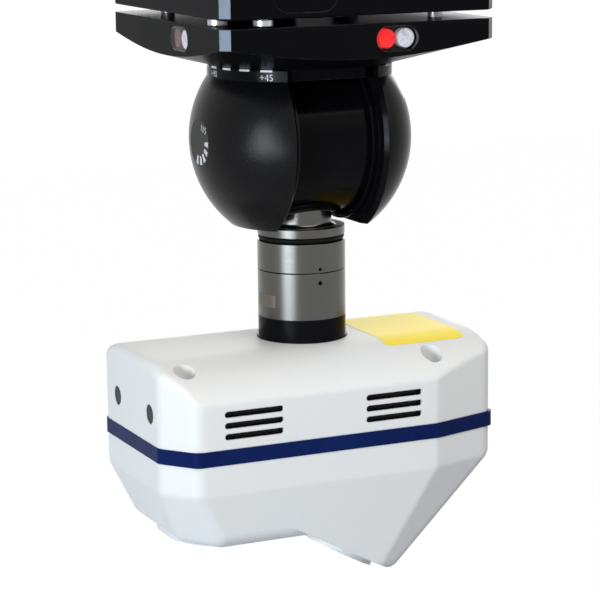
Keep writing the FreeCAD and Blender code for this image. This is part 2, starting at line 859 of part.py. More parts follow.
def tilt_bearings():
    rings = [ring("X", "tilt_bearing_radius", "shaft_radius + running_gap", *side_span(arm_start, arm_end, sign))
             for sign in (-1, 1)]
    keep(group(*rings), "tilt_bearings")


def drum():
    """The drum in the slot, bored for its shaft and for the stem."""
    corners = [("-drum_half", "0"), ("-drum_half", "drum_radius - drum_edge"),
               ("-drum_half + drum_edge", "drum_radius"), ("drum_half - drum_edge", "drum_radius"),
               ("drum_half", "drum_radius - drum_edge"), ("drum_half", "0")]
    barrel = revolve("XZ_Plane", corners, "H_Axis")
    keep(cut(barrel, rod("X", "shaft_radius", "-drum_half", "drum_half"),
             rod("Z", "stem_radius", "-drum_radius", "-(drum_radius - stem_socket)")), "tilt_drum")


def tilt_shaft():
    keep(rod("X", "shaft_radius", "-shaft_half", "shaft_half"), "tilt_shaft")


def tilt_drive():
    thick = value("tilt_gear_thick")
    angle = value("tilt_motor_angle")
    gear = doc.addObject("Part::Feature", "TiltGear")
    gear.Shape = gear_shape(int(value("tilt_gear_teeth")), value(pitch_tilt), value("shaft_radius"), thick, angle)
    laid(gear, f"-({tilt_gear_end})", ("0", "0"), "tilt_gear")
    pinion = doc.addObject("Part::Feature", "TiltPinion")
    half_step = 180 / value("pinion_teeth")
    pinion.Shape = pinion_shape(value(pitch_pinion), thick, angle + 180 + half_step, "tilt_shaft_length")
    laid(pinion, f"-({tilt_gear_end})", tilt_motor_spot, "tilt_pinion")
    motor_span = (f"-({tilt_gear_start} - turn_gap)", f"-({arm_start})")
    shaft_hole = rod("X", "motor_shaft_radius + running_gap", motor_span[0],
                     f"{motor_span[0]} + tilt_shaft_hole", tilt_motor_spot)
    keep(cut(rod("X", "tilt_motor_radius", *motor_span, tilt_motor_spot), shaft_hole), "tilt_motor")


def laid(thing, start, at, label):
    """Keeps a shape drawn on Z, laid along X, its own X towards the head's Y."""
    keep(thing, label)
    turn = FreeCAD.Rotation(FreeCAD.Vector(1, 1, 1), 120)
    thing.Placement = FreeCAD.Placement(FreeCAD.Vector(0, 0, 0), turn)
    place(thing, start, at[0], f"{head_origin} + {at[1]}")


# Quick-change joint: stem and upper half on the drum, lower half on the scanner

flange_foot = "flange_top + flange_thick"
seal_foot = f"{flange_foot} + seal_thick"
core_radius = "seal_radius - seal_thick"
upper_face = "joint_seam - seam_gap / 2"
lower_face = "joint_seam + seam_gap / 2"
socket_roof = f"{upper_face} - socket_depth"


def stem():
    """A hollow neck that flares into the flange below it."""
    corners = [("cable_bore", "-(drum_radius - stem_socket)"), ("stem_radius", "-(drum_radius - stem_socket)"),
               ("stem_radius", "-(flange_top - stem_flare)", "stem_flare", 1),
               ("stem_radius + stem_flare", "-flange_top"), ("cable_bore", "-flange_top")]
    keep(revolve("XZ_Plane", corners, "V_Axis"), "stem")


def joint_flange():
    flange = ring("Z", "flange_radius", "cable_bore", f"-({flange_foot})", "-flange_top")
    keep(flange, "joint_flange")


def joint_seal():
    seal = doc.addObject("Part::Torus", "Seal")
    bind(seal, Radius1="seal_radius - seal_thick / 2", Radius2="seal_thick / 2")
    place(seal, z=f"-({flange_foot} + seal_thick / 2)")
    keep(group(seal), "joint_seal")


def seat_spots():
    return [polar("seat_circle", f"seat_first_angle + 360 / seat_count * {index}")
            for index in range(sizes["seat_count"])]


def joint_upper():
    """The head's half: a core inside the seal, and a socket with three ball seats round it."""
    shell = fuse(rod("Z", core_radius, f"-({seal_foot})", f"-({flange_foot})"),
                 rod("Z", "joint_radius", f"-({upper_face})", f"-({seal_foot})"))
    holes = [rod("Z", "socket_radius", f"-({upper_face})", f"-({socket_roof})"),
             rod("Z", "cable_bore", f"-({socket_roof})", f"-({flange_foot})")]
    holes += [rod("Z", "seat_ball", f"-({upper_face})", f"-({upper_face}) + seat_pocket_depth", spot)
              for spot in seat_spots()]
    keep(cut(shell, *holes), "joint_upper")


def seat_level():
    return f"-({upper_face}) + seat_sink"


def contact_socket():
    """The insulating disc in the socket, with its ring of sprung pins."""
    board = rod("Z", "socket_radius - running_gap", f"-({socket_roof} + socket_board)", f"-({socket_roof})")
    pins = [rod("Z", "contact_pin", f"-({socket_roof} + socket_board + contact_length)",
                f"-({socket_roof} + socket_board / 2)", polar("contact_circle", 360 / sizes["contact_pins"] * index))
            for index in range(sizes["contact_pins"])]
    keep(fuse(board, *pins), "contact_socket")


plug_top = f"{socket_roof} + socket_board + contact_length + seat_gap"
spigot_top = f"{plug_top} + socket_board"
spigot_radius = "socket_radius - spigot_gap"


def joint_lower():
    """The scanner's half, with the spigot that enters the socket and a bore for the lock cam."""
    shell = fuse(rod("Z", "joint_radius", "-joint_foot", f"-({lower_face})"),
                 rod("Z", spigot_radius, f"-({lower_face})", f"-({spigot_top})"))
    holes = [rod("Y", "cam_radius + running_gap", "joint_radius - cam_length - turn_gap", "joint_radius",
                 ("0", "-cam_level"))]
    holes += [rod("Z", "seat_pad", f"-({lower_face} + 2 * seat_ball)", f"-({lower_face})", spot)
              for spot in seat_spots()]
    keep(cut(shell, *holes), "joint_lower")


def joint_seats():
    keep(group(*[ball("seat_ball", *spot, seat_level()) for spot in seat_spots()]), "seat_balls")
    top = f"{seat_level()} - seat_ball - seat_gap"
    pads = [rod("Z", "seat_pad", f"-({lower_face} + 2 * seat_ball)", top, spot) for spot in seat_spots()]
    keep(group(*pads), "seat_pads")


def contact_plug():
    keep(rod("Z", f"{spigot_radius}", f"-({spigot_top})", f"-({plug_top})"), "contact_plug")


def lock_cam():
    """The cross screw that draws the two halves together, with its hexagon socket."""
    screw = rod("Y", "cam_radius", "joint_radius - cam_length", "joint_radius - turn_gap", ("0", "-cam_level"))
    hexagon = doc.addObject("Part::Prism", "Hexagon")
    hexagon.Polygon = 6
    bind(hexagon, Circumradius="cam_radius / 2", Height="cam_socket")
    along(hexagon, "Y", "joint_radius - turn_gap - cam_socket", ("0", "-cam_level"))
    keep(cut(screw, hexagon), "lock_cam")


def joint_collar():
    """The black collar on the scanner's roof, with a spigot down to the chassis."""
    collar = fuse(rod("Z", "joint_radius", "0", "roof_level - joint_foot"),
                  rod("Z", "collar_foot_radius", "0", "collar_foot_height"),
                  rod("Z", "collar_spigot", "-collar_spigot_depth", "0"))
    keep(cut(collar, rod("Z", "cable_bore", "-collar_spigot_depth", "roof_level - joint_foot")),
         "joint_collar", scanner_origin)


# Scanner covers, drawn down from the roof

def plan_corners(inset, grow="0", left_run="0", front_run="0", right_run="0"):
    """The plan of the covers: long sides, square ends, cut corners.

    The runs are how far the left end, the front and the right end have moved in at a lower level.
    """
    left = f"-(cover_left - ({inset}) - ({left_run}) + ({grow}))"
    right = f"cover_right - ({inset}) - ({right_run}) + ({grow})"
    half = f"cover_half - ({inset}) - ({front_run}) + ({grow})"
    left_x = (f"(left_corner_x - ({inset}) * left_corner_share"
              f" + left_corner_growth * (({left_run}) + ({front_run})) / 2)")
    left_y = f"({left_x}) * left_corner_y / left_corner_x"
    right_x = f"(right_corner_x - ({inset}) * right_corner_share - right_corner_loss * ({right_run}))"
    right_y = f"({right_x}) * right_corner_y / right_corner_x"
    near = [(left, f"-({half}) + {left_y}"), (f"{left} + {left_x}", f"-({half})"),
            (f"{right} - {right_x}", f"-({half})"), (right, f"-({half}) + {right_y}")]
    return near + [(across, f"-({up})") for across, up in reversed(near)]


def roof_corners(inset):
    """What lies above the roof: flat in the middle and sloping to both long sides."""
    top = f"-({inset})"
    edge = f"-(roof_drop + ({inset}))"
    beyond = "cover_half + cut_margin"
    fall = "roof_drop / (cover_half - roof_flat_half)"
    low = f"{edge} - {fall}"
    return [("-roof_flat_half", top), (f"-({beyond})", low), (f"-({beyond})", "blank_margin"),
            (beyond, "blank_margin"), (beyond, low), ("roof_flat_half", top)]


def top_blank(inset, shaped):
    body = new_body()
    pad(body, outline(body, "XY_Plane", plan_corners(inset), "-band_top"), "band_top + cut_margin")
    pocket_through(body, outline(body, "YZ_Plane", roof_corners(inset)))
    if shaped:
        rounded(body, "roof_blend", lambda edge: abs(direction(edge).x) > straight and on_level(edge, "0"))
        rounded(body, "roof_round", roof_rim_or_corner)
    return body


def roof_rim_or_corner(edge):
    """The rim all round the roof and the upright corners, but not the blends along its flat."""
    inner = abs(direction(edge).x) > straight and abs(edge.CenterOfMass.y) < value("roof_flat_half + cover_half") / 2
    rim = edge.CenterOfMass.z > -value("roof_drop + cover_wall")
    return (rim and not inner) or abs(direction(edge).z) > straight


pocket_spots = [(f"{sign_x}pocket_{side}", f"{sign_y}pocket_half")
                for side, sign_x in (("left", "-"), ("right", "")) for sign_y in "-+"]


def vent_slots(start, end):
    slots = []
    for centre in ("-vent_left", "vent_right"):
        for index in range(sizes["vent_rows"]):
            slots.append(obround("vent_length", "vent_height", start, end,
                                 (centre, f"-(vent_level + {index} * vent_pitch)")))
    return slots


def top_cover():
    """The white upper shell: roof, vents, screw pockets and the hole for the collar."""
    shell = cut(top_blank("0", True), top_blank("cover_wall", False))
    posts = [rod("Z", "post_radius + cover_wall / 2", "-(pocket_floor + cover_wall)", "0", spot)
             for spot in pocket_spots]
    bosses = common(fuse(*posts), top_blank("cover_wall / 2", False))
    holes = [rod("Z", "pocket_radius", "-pocket_floor", "blank_margin", spot) for spot in pocket_spots]
    holes += [rod("Z", "screw_radius + running_gap", "-(pocket_floor + cover_wall)", "0", spot)
              for spot in pocket_spots]
    holes.append(rod("Z", "collar_spigot", "-cover_wall", "0"))
    holes += vent_slots("-(cover_half + cut_margin)", "-(cover_half - cover_wall - cut_margin)")
    holes += [rod("X", "plug_radius", "-(cover_left + cut_margin)", "-(cover_left - cover_wall - cut_margin)", spot)
              for spot in plug_spots]
    keep(cut(fuse(shell, bosses), *holes), "top_cover", scanner_origin)


plug_spots = [("plug_back", "-plug_level"), ("-plug_front", "-plug_level")]


def end_plugs():
    plugs = [rod("X", "plug_radius", "-(cover_left - plug_recess)", "-(cover_left - plug_recess - plug_depth)", spot)
             for spot in plug_spots]
    keep(group(*plugs), "end_plugs", scanner_origin)


def blue_band():
    """The band between the covers, standing a little proud of them."""
    outer = new_body()
    pad(outer, outline(outer, "XY_Plane", plan_corners("0", "band_proud"), "-band_foot"), "band_foot - band_top")
    rounded(outer, "corner_round", lambda edge: abs(direction(edge).z) > straight)
    inner = new_body()
    pad(inner, outline(inner, "XY_Plane", plan_corners("cover_wall"), "-band_foot"), "band_foot - band_top")
    keep(cut(outer, inner), "blue_band", scanner_origin)


def skirt_blank(inset, level, shaped):
    """The lower body down to a level: straight to the crease, then tapering."""
    body = new_body()
    upper = outline(body, "XY_Plane", plan_corners(inset), "-crease_level")
    pad(body, upper, "crease_level - band_foot")
    start = outline(body, "XY_Plane", plan_corners(inset), "-crease_level")
    run = f"({level} - crease_level)"
    end = outline(body, "XY_Plane", plan_corners(inset, "0", f"left_slope * {run}", f"front_slope * {run}",
                                                 f"right_slope * {run}"), f"-({level})")
    taper = body.newObject("PartDesign::AdditiveLoft", "Taper")
    taper.Profile = start
    taper.Sections = [end]
    taper.Ruled = True
    if shaped:
        rounded(body, "skirt_round", lambda edge: crease_or_corner(edge) or on_level(edge, level))
    return body


def crease_or_corner(edge):
    """The crease round the cover, and the corner edges above and below it."""
    steep = len(edge.Vertexes) == 2 and abs(direction(edge).z) > steeper
    return (steep and abs(edge.CenterOfMass.y) > value("cover_half") / 2) or on_level(edge, "crease_level")


def nose_blank(inset, shaped):
    """What of the tapering body lies above the slanting face and the tip of the nose."""
    body = skirt_blank(inset, "nose_level", shaped)
    beyond = "-cover_left - cut_margin"
    fall = "(slant_level - pod_level) / (slant_end + pod_end)"
    rise = f"({inset})"
    pocket_through(body, outline(body, "XZ_Plane", [
        (beyond, f"-pod_level + (cover_left + cut_margin - pod_end) * {fall} + {rise}"),
        (f"slant_end + {rise} * slant_end_share", f"-slant_level + {rise}"),
        ("nose_end + cut_margin", f"-nose_low + {rise}"),
        ("cover_right", f"-nose_low + {rise}"),
        ("cover_right", "-nose_level - blank_margin"),
        (beyond, "-nose_level - blank_margin"),
    ]))
    return body


def bottom_cover():
    """The white lower shell with its pod, slanting camera face and nose."""
    outside = fuse(skirt_blank("0", "pod_level", True), nose_blank("0", True))
    inside = fuse(skirt_blank("cover_wall", "pod_level - cover_wall", False), nose_blank("cover_wall", False))
    laser_hole = window_bar(*laser_spigot, "-pod_level - cut_margin", "-pod_level + cover_wall + cut_margin",
                            "-laser_centre")
    camera_hole = slanted(window_bar(*camera_spigot, "-cut_margin", "cover_wall + cut_margin"))
    keep(cut(outside, inside, laser_hole, camera_hole), "bottom_cover", scanner_origin)


# Windows: each has a bezel with a spigot in the cover's hole, and glass set back in the bezel

laser_spigot = ("laser_bezel_span - 2 * bezel_step", "laser_bezel_width - 2 * bezel_step")
camera_spigot = ("camera_bezel_span - 2 * bezel_step", "camera_bezel_width - 2 * bezel_step")
slant_angle = "atan((slant_level - pod_level) / (slant_end + pod_end))"


def slanted(thing):
    """Lays a piece drawn about its own Z on the middle of the slanting camera face."""
    tilt = FreeCAD.Rotation(FreeCAD.Vector(0, 1, 0), value(slant_angle))
    thing.Placement = FreeCAD.Placement(FreeCAD.Vector(0, 0, 0), tilt)
    thing.setExpression("Placement.Rotation.Angle", linked(slant_angle))
    return place(thing, f"(slant_end - pod_end) / 2 + camera_shift * cos({slant_angle})", "0",
                 f"-(slant_level + pod_level) / 2 - camera_shift * sin({slant_angle})")


def bezel(sizes_outer, thick, spigot, window, x="0"):
    plate = window_bar(*sizes_outer, f"-({thick})", "0", x)
    inner = window_bar(*spigot, "0", "cover_wall", x)
    return cut(fuse(plate, inner), window_bar(*window, f"-({thick})", "cover_wall", x))


def laser_parts():
    """The line laser in the pod, behind its glass."""
    window = ("laser_window_span", "laser_window_width")
    x = "-laser_centre"
    frame = bezel(("laser_bezel_span", "laser_bezel_width"), "laser_bezel_thick", laser_spigot, window, x)
    keep(group(place(frame, z="-pod_level")), "laser_bezel", scanner_origin)
    glass_low = "-(laser_bezel_thick - window_recess)"
    glass = window_bar(*window, glass_low, f"{glass_low} + window_thick", x)
    keep(group(place(glass, z="-pod_level")), "laser_window", scanner_origin)
    glass_top = f"-pod_level {glass_low} + window_thick"
    box = block((f"{x} - laser_half_x", f"{x} + laser_half_x"), ("-laser_half_y", "laser_half_y"),
                ("-(pod_level - laser_barrel)", board_foot))
    barrel = rod("Z", "laser_barrel", f"{glass_top} + seat_gap", "-(pod_level - laser_barrel)", (x, "0"))
    keep(fuse(box, barrel), "laser_module", scanner_origin)


def camera_parts():
    """The camera behind the slanting face, hung from the main board by its bracket."""
    window = ("camera_window_span", "camera_window_width")
    frame = bezel(("camera_bezel_span", "camera_bezel_width"), "camera_bezel_thick", camera_spigot, window)
    keep(group(slanted(frame)), "camera_bezel", scanner_origin)
    glass_low = "-(camera_bezel_thick - window_recess)"
    glass = window_bar(*window, glass_low, f"{glass_low} + window_thick")
    keep(group(slanted(glass)), "camera_window", scanner_origin)
    start = f"{glass_low} + window_thick + seat_gap"
    box_foot = f"{start} + camera_barrel_length"
    barrel = slanted(group(rod("Z", "camera_barrel", start, box_foot)))
    sensor = slanted(group(block(("-camera_half", "camera_half"), ("-camera_half", "camera_half"),
                                 (box_foot, f"{box_foot} + camera_box_height"))))
    bracket = block(("0", "camera_half"), ("-camera_half", "camera_half"),
                    ("-(crease_level + camera_bracket_drop)", board_foot))
    keep(fuse(barrel, sensor, bracket), "camera_module", scanner_origin)


# Chassis, board, heat sink, screens and screws inside the covers

chassis_foot = "-(band_top + chassis_thick)"
board_top = f"{chassis_foot} - board_rise"
board_foot = f"{board_top} - board_thick"
screw_seat = "-(pocket_floor + cover_wall)"


def chassis():
    """The plate that carries everything, with the mast to the collar and the cover posts."""
    plate = new_body()
    pad(plate, outline(plate, "XY_Plane", plan_corners("chassis_margin"), chassis_foot), "chassis_thick")
    mast = rod("Z", "mast_radius", "-band_top", "-collar_spigot_depth")
    posts = [rod("Z", "post_radius", "-band_top", screw_seat, spot) for spot in pocket_spots]
    legs = [rod("Z", "screw_radius", board_top, chassis_foot, spot) for spot in board_spots]
    holes = [rod("Z", "cable_bore", chassis_foot, "-collar_spigot_depth")]
    holes += [rod("Z", "screw_radius", chassis_foot, screw_seat, spot) for spot in pocket_spots]
    keep(cut(fuse(plate, mast, *posts, *legs), *holes), "chassis", scanner_origin)


board_spots = [(x, f"{sign}board_half + {inward}post_radius") for x in ("-board_left + post_radius",
               "board_right - post_radius") for sign, inward in (("-", ""), ("", "-1 * "))]


def main_board():
    board = block(("-board_left", "board_right"), ("-board_half", "board_half"), (board_foot, board_top))
    keep(board, "main_board", scanner_origin)


def heat_sink():
    """A finned block on the chassis behind the left vents."""
    half = "(fin_count * fin_pitch) / 2"
    back = "-(cover_half - cover_wall - screen_thick - seat_gap)"
    depth = (back, f"{back} + fin_depth / 2")
    base_top = "-band_top + fin_base"
    base = block((f"-vent_left - {half}", f"-vent_left + {half}"), depth, ("-band_top", base_top))
    fins = []
    for index in range(sizes["fin_count"]):
        start = f"-vent_left - {half} + {index} * fin_pitch + (fin_pitch - fin_thick) / 2"
        fins.append(block((start, f"{start} + fin_thick"), depth, ("-band_top", f"{base_top} + fin_height")))
    keep(fuse(base, *fins), "heat_sink", scanner_origin)


def vent_screens():
    """Fine black screens against the inner side of the front wall."""
    screens = []
    reach = "vent_length / 2 + screen_margin"
    wall = "-(cover_half - cover_wall)"
    low = "-(vent_level + (vent_rows - 1) * vent_pitch + vent_height)"
    for centre in ("-vent_left", "vent_right"):
        screens.append(block((f"{centre} - ({reach})", f"{centre} + {reach}"), (wall, f"{wall} + screen_thick"),
                             (low, "-(vent_level - vent_height)")))
    keep(group(*screens), "vent_screens", scanner_origin)


def cover_screws():
    """A screw at the bottom of each roof pocket, under its plastic cap."""
    screws = []
    caps = []
    for spot in pocket_spots:
        head_top = "-pocket_floor + screw_head_height"
        screws.append(fuse(rod("Z", "screw_head", "-pocket_floor", head_top, spot),
                           rod("Z", "screw_radius", "-band_top", "-pocket_floor", spot)))
        caps.append(rod("Z", "pocket_radius", head_top, f"{head_top} + cap_thick", spot))
    keep(group(*screws), "cover_screws", scanner_origin)
    keep(group(*caps), "screw_caps", scanner_origin)


adjuster_block()
keep(ball("pivot_radius", "pivot_offset", "pivot_offset", pivot_level), "pivot_ball")
adjusting_screw("pitch_screw", adjuster_spots[0])
adjusting_screw("roll_screw", adjuster_spots[1])
clamp_screws()
link_connector()
head_plate()
status_windows()
status_lamps("status_lamps_red", "-")
status_lamps("status_lamps_clear", "+")
lamp_boards()
pan_bearing()
pan_drive()
spindle_nut()
yoke()
cheek("left_cheek", -1, True)
cheek("right_cheek", 1, False)
rear_cover()
scale_ring()
tilt_disc()
tilt_bearings()
drum()
tilt_shaft()
tilt_drive()
stem()
joint_flange()
joint_seal()
joint_upper()
contact_socket()
joint_lower()
joint_seats()
contact_plug()
lock_cam()
joint_collar()
top_cover()
end_plugs()
blue_band()
bottom_cover()
laser_parts()
camera_parts()
chassis()
main_board()
heat_sink()
vent_screens()
cover_screws()

doc.recompute()

failed = [thing.Name for thing in doc.Objects if {"Invalid", "Error"} & set(thing.State)]
failed += [part.Label for part in sub_parts
           if part.Shape.isNull() or not part.Shape.isValid() or not part.Shape.Solids]
if failed:
    raise RuntimeError("no sound solid: " + ", ".join(failed))
for part in sub_parts:
    part.Shape.exportStep(f"parts/{part.Label}.step")
print(len(sub_parts), "sub-parts written")
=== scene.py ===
import json
import math
import bpy
import bmesh
from mathutils import Matrix, Vector
from mathutils.bvhtree import BVHTree
from mathutils.geometry import convex_hull_2d


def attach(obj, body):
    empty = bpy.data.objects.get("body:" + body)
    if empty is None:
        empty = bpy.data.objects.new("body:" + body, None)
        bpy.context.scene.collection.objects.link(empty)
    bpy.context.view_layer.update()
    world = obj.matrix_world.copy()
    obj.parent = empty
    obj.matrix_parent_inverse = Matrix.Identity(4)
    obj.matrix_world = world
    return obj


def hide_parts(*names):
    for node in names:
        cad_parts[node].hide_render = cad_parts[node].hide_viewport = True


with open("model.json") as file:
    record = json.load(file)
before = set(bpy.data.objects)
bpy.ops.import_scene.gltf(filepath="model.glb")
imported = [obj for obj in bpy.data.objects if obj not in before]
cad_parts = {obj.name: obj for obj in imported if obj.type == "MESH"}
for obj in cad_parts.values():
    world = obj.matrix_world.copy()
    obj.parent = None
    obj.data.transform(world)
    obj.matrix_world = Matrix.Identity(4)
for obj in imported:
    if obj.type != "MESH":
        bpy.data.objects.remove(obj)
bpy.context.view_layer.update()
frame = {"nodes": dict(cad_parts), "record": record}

# The part hangs from z = 0. Lengths in the dictionaries are millimetres, and the studio's are metres.
mm = 0.001
ballCentre = Vector((0, 0, -58.3)) * mm     # where the two axes cross
roofCentre = Vector((0, 0, -115.5)) * mm    # where the collar meets the scanner's roof


# Shader maths: a socket that takes part in sums

class Signal:
    def __init__(self, finish, socket):
        self.finish = finish
        self.socket = socket

    def sum(self, kind, first, second):
        return self.finish.node("Math", {"operation": kind}, {0: first, 1: second})

    def __add__(self, other):
        return self.sum("ADD", self, other)

    def __radd__(self, other):
        return self.sum("ADD", other, self)

    def __sub__(self, other):
        return self.sum("SUBTRACT", self, other)

    def __rsub__(self, other):
        return self.sum("SUBTRACT", other, self)

    def __mul__(self, other):
        return self.sum("MULTIPLY", self, other)

    def __rmul__(self, other):
        return self.sum("MULTIPLY", other, self)

    def __pow__(self, other):
        return self.sum("POWER", self, other)

    def clipped(self, low, high):               # low..high becomes 0..1
        return self.finish.node("MapRange", None, {"Value": self, "From Min": low, "From Max": high})


class Finish:
    def __init__(self, name):
        self.material = bpy.data.materials.new(name)
        self.material.use_nodes = True
        self.tree = self.material.node_tree
        self.tree.nodes.clear()
        self.end = self.tree.nodes.new("ShaderNodeOutputMaterial")

    def node(self, kind, settings=None, sockets=None, out=0):
        made = self.tree.nodes.new("ShaderNode" + kind)
        for key, value in (settings or {}).items():
            setattr(made, key, value)
        for key, value in (sockets or {}).items():
            if isinstance(value, Signal):
                self.tree.links.new(value.socket, made.inputs[key])
            else:
                made.inputs[key].default_value = value
        return Signal(self, made.outputs[out])

    def mix(self, share, first, second):        # colours
        return self.node("Mix", {"data_type": "RGBA"}, {0: share, 6: first, 7: second}, out=2)

    def place(self, stretch=(1, 1, 1)):         # the piece's own coordinates
        here = self.node("TexCoord", out=3)
        if stretch == (1, 1, 1):
            return here
        return self.node("VectorMath", {"operation": "MULTIPLY"}, {0: here, 1: stretch})

    def noise(self, scale, detail=3.0, stretch=(1, 1, 1), rough=0.55):
        return self.node("TexNoise", None, {"Vector": self.place(stretch), "Scale": scale,
                                            "Detail": detail, "Roughness": rough})

    def edge(self, reach):                      # 0 on flats, up to 1 on outer edges
        soft = self.node("Bevel", {"samples": 6}, {"Radius": reach * mm})
        flat = self.node("NewGeometry", out=1)
        meet = self.node("VectorMath", {"operation": "DOT_PRODUCT"}, {0: soft, 1: flat}, out=1)
        return (1.0 - meet).clipped(0.02, 0.18)

    def facing(self, ways):                     # 1 where a face looks along one of the ways, to or fro
        here = self.node("TexCoord", out=1)
        found = 0.0
        for way in ways:
            along = self.node("VectorMath", {"operation": "DOT_PRODUCT"}, {0: here, 1: way}, out=1)
            along = self.node("Math", {"operation": "ABSOLUTE"}, {0: along})
            found = self.node("Math", {"operation": "MAXIMUM"}, {0: along, 1: found})
        return found.clipped(0.97, 0.99)

    def outside(self, half):                    # 1 beyond a distance from the upright axis
        parts = self.node("SeparateXYZ", None, {0: self.place()})
        along = Signal(self, parts.socket.node.outputs[1])
        return (parts ** 2.0 + along ** 2.0).clipped((half * mm) ** 2, ((half + 1) * mm) ** 2)

    def relief(self, height, depth, strength=1.0, soften=None):
        sockets = {"Height": height, "Distance": depth * mm, "Strength": strength}
        if soften:
            sockets["Normal"] = self.node("Bevel", {"samples": 4}, {"Radius": soften * mm})
        return self.node("Bump", None, sockets)

    def done(self, sockets):
        shader = self.node("BsdfPrincipled", None, sockets)
        self.tree.links.new(shader.socket, self.end.inputs["Surface"])
        return self.material


def rgb(red, green, blue):
    return (red, green, blue, 1.0)


# Finishes

paintLook = {"colour": rgb(0.004, 0.004, 0.005), "dust": rgb(0.008, 0.0085, 0.01),
             "worn": rgb(0.1, 0.115, 0.13), "satin": rgb(0.03, 0.035, 0.043), "sheen": 0.02, "rough": 0.22,
             "grain": 2600, "grainDepth": 0.01, "edge": 0.35,
             "corner": ((0.7071, 0.7071, 0), (0.7071, -0.7071, 0)), "half": 37}


def blackPaint():
    look = paintLook
    f = Finish("blackPaint")
    cloud = f.noise(60, 4)
    speck = f.noise(900, 2)
    edge = f.edge(look["edge"])
    scuffed = edge * f.noise(400, 3).clipped(0.35, 0.7)
    base = f.mix(cloud.clipped(0.5, 0.9) * 0.25, look["colour"], look["dust"])
    base = f.mix(scuffed * 0.55, base, look["worn"])
    corner = f.facing(look["corner"]) * f.outside(look["half"])
    base = f.mix(corner, base, look["satin"])
    rough = look["rough"] + cloud * 0.1 + speck * 0.06 + edge * 0.12
    normal = f.relief(f.noise(look["grain"], 2), look["grainDepth"], 0.6, look["edge"])
    return f.done({"Base Color": base, "Roughness": rough, "Normal": normal, "Metallic": corner,
                   "Specular IOR Level": look["sheen"]})


textureLook = {"colour": rgb(0.003, 0.003, 0.0035), "bare": rgb(0.009, 0.009, 0.0105),
               "worn": rgb(0.09, 0.09, 0.095), "rough": 0.2, "grain": 1500, "grainDepth": 0.05, "edge": 0.25,
               "sheen": 0.115}


def blackTexture():
    look = textureLook
    f = Finish("blackTexture")
    grain = f.noise(look["grain"], 3, rough=0.7)
    cloud = f.noise(90, 4)
    edge = f.edge(look["edge"])
    base = f.mix(grain.clipped(0.45, 0.8) * 0.3, look["colour"], look["bare"])
    base = f.mix(edge * cloud * 0.5, base, look["worn"])
    rough = look["rough"] + grain * 0.12 - edge * 0.1
    normal = f.relief(grain, look["grainDepth"], 0.7, look["edge"])
    return f.done({"Base Color": base, "Roughness": rough, "Normal": normal,
                   "Specular IOR Level": look["sheen"]})


glossLook = {"colour": rgb(0.003, 0.003, 0.004), "haze": rgb(0.011, 0.011, 0.013), "rough": 0.1,
             "hair": 520, "hairWay": (1, 6, 1), "hairDepth": 0.004, "edge": 0.3, "sheen": 0.04}


def blackGloss():
    look = glossLook
    f = Finish("blackGloss")
    haze = f.noise(70, 5)
    hair = f.noise(look["hair"], 3, stretch=look["hairWay"])
    edge = f.edge(look["edge"])
    base = f.mix(haze.clipped(0.5, 0.85) * 0.3 + edge * 0.25, look["colour"], look["haze"])
    rough = look["rough"] + haze * 0.1 + hair.clipped(0.55, 0.8) * 0.06
    normal = f.relief(hair, look["hairDepth"], 0.5, look["edge"])
    return f.done({"Base Color": base, "Roughness": rough, "Normal": normal,
                   "Specular IOR Level": look["sheen"]})


whiteLook = {"colour": rgb(0.78, 0.79, 0.8), "warm": rgb(0.8, 0.78, 0.73), "shade": rgb(0.62, 0.63, 0.65),
             "rough": 0.42, "grain": 2400, "grainDepth": 0.02, "edge": 0.5, "soften": 0.4, "sheen": 0.3}


def coverWhite():
    look = whiteLook
    f = Finish("coverWhite")
    cloud = f.noise(28, 4)
    grain = f.noise(look["grain"], 2)
    edge = f.edge(look["edge"])
    grime = f.noise(180, 5).clipped(0.58, 0.8) * 0.12
    base = f.mix(cloud.clipped(0.35, 0.75) * 0.35, look["colour"], look["warm"])
    base = f.mix(grime, base, look["shade"])
    rough = look["rough"] + cloud * 0.08 + grain * 0.08 - edge * 0.05
    normal = f.relief(grain, look["grainDepth"], 0.35, look["soften"])
    return f.done({"Base Color": base, "Roughness": rough, "Normal": normal,
                   "Specular IOR Level": look["sheen"]})


bandLook = {"colour": rgb(0.004, 0.012, 0.075), "light": rgb(0.01, 0.03, 0.15), "rough": 0.22,
            "grain": 1800, "grainDepth": 0.012, "edge": 0.4, "soften": 0.35, "sheen": 0.03}


def bandBlue():
    look = bandLook
    f = Finish("bandBlue")
    cloud = f.noise(80, 4)
    edge = f.edge(look["edge"])
    base = f.mix(cloud.clipped(0.4, 0.8) * 0.4 + edge * 0.4, look["colour"], look["light"])
    normal = f.relief(f.noise(look["grain"], 2), look["grainDepth"], 0.5, look["soften"])
    return f.done({"Base Color": base, "Roughness": look["rough"] + cloud * 0.12, "Normal": normal,
                   "Specular IOR Level": look["sheen"]})


def shade(colour, share, extra=0.0):            # a colour made darker or lighter
    return tuple(min(1.0, part * share + extra) for part in colour[:3]) + (1.0,)


def turnedMetal(name, colour, rough, lines=4200, depth=0.01, stretch=(0.02, 0.02, 1), streaks=0.5):
    f = Finish(name)
    ringed = f.noise(lines, 3, stretch=stretch)
    cloud = f.noise(140, 4)
    stain = f.noise(35, 3)
    edge = f.edge(0.25)
    base = f.mix(1.0 - ringed.clipped(0.35, 0.7) * streaks - cloud * 0.2, shade(colour, 0.78), colour)
    base = f.mix(edge * 0.5, base, shade(colour, 1.12))
    return f.done({"Base Color": base, "Metallic": 1.0,
                   "Roughness": rough + ringed * 0.1 + stain.clipped(0.4, 0.8) * 0.08,
                   "Normal": f.relief(ringed, depth, 0.6, 0.25)})


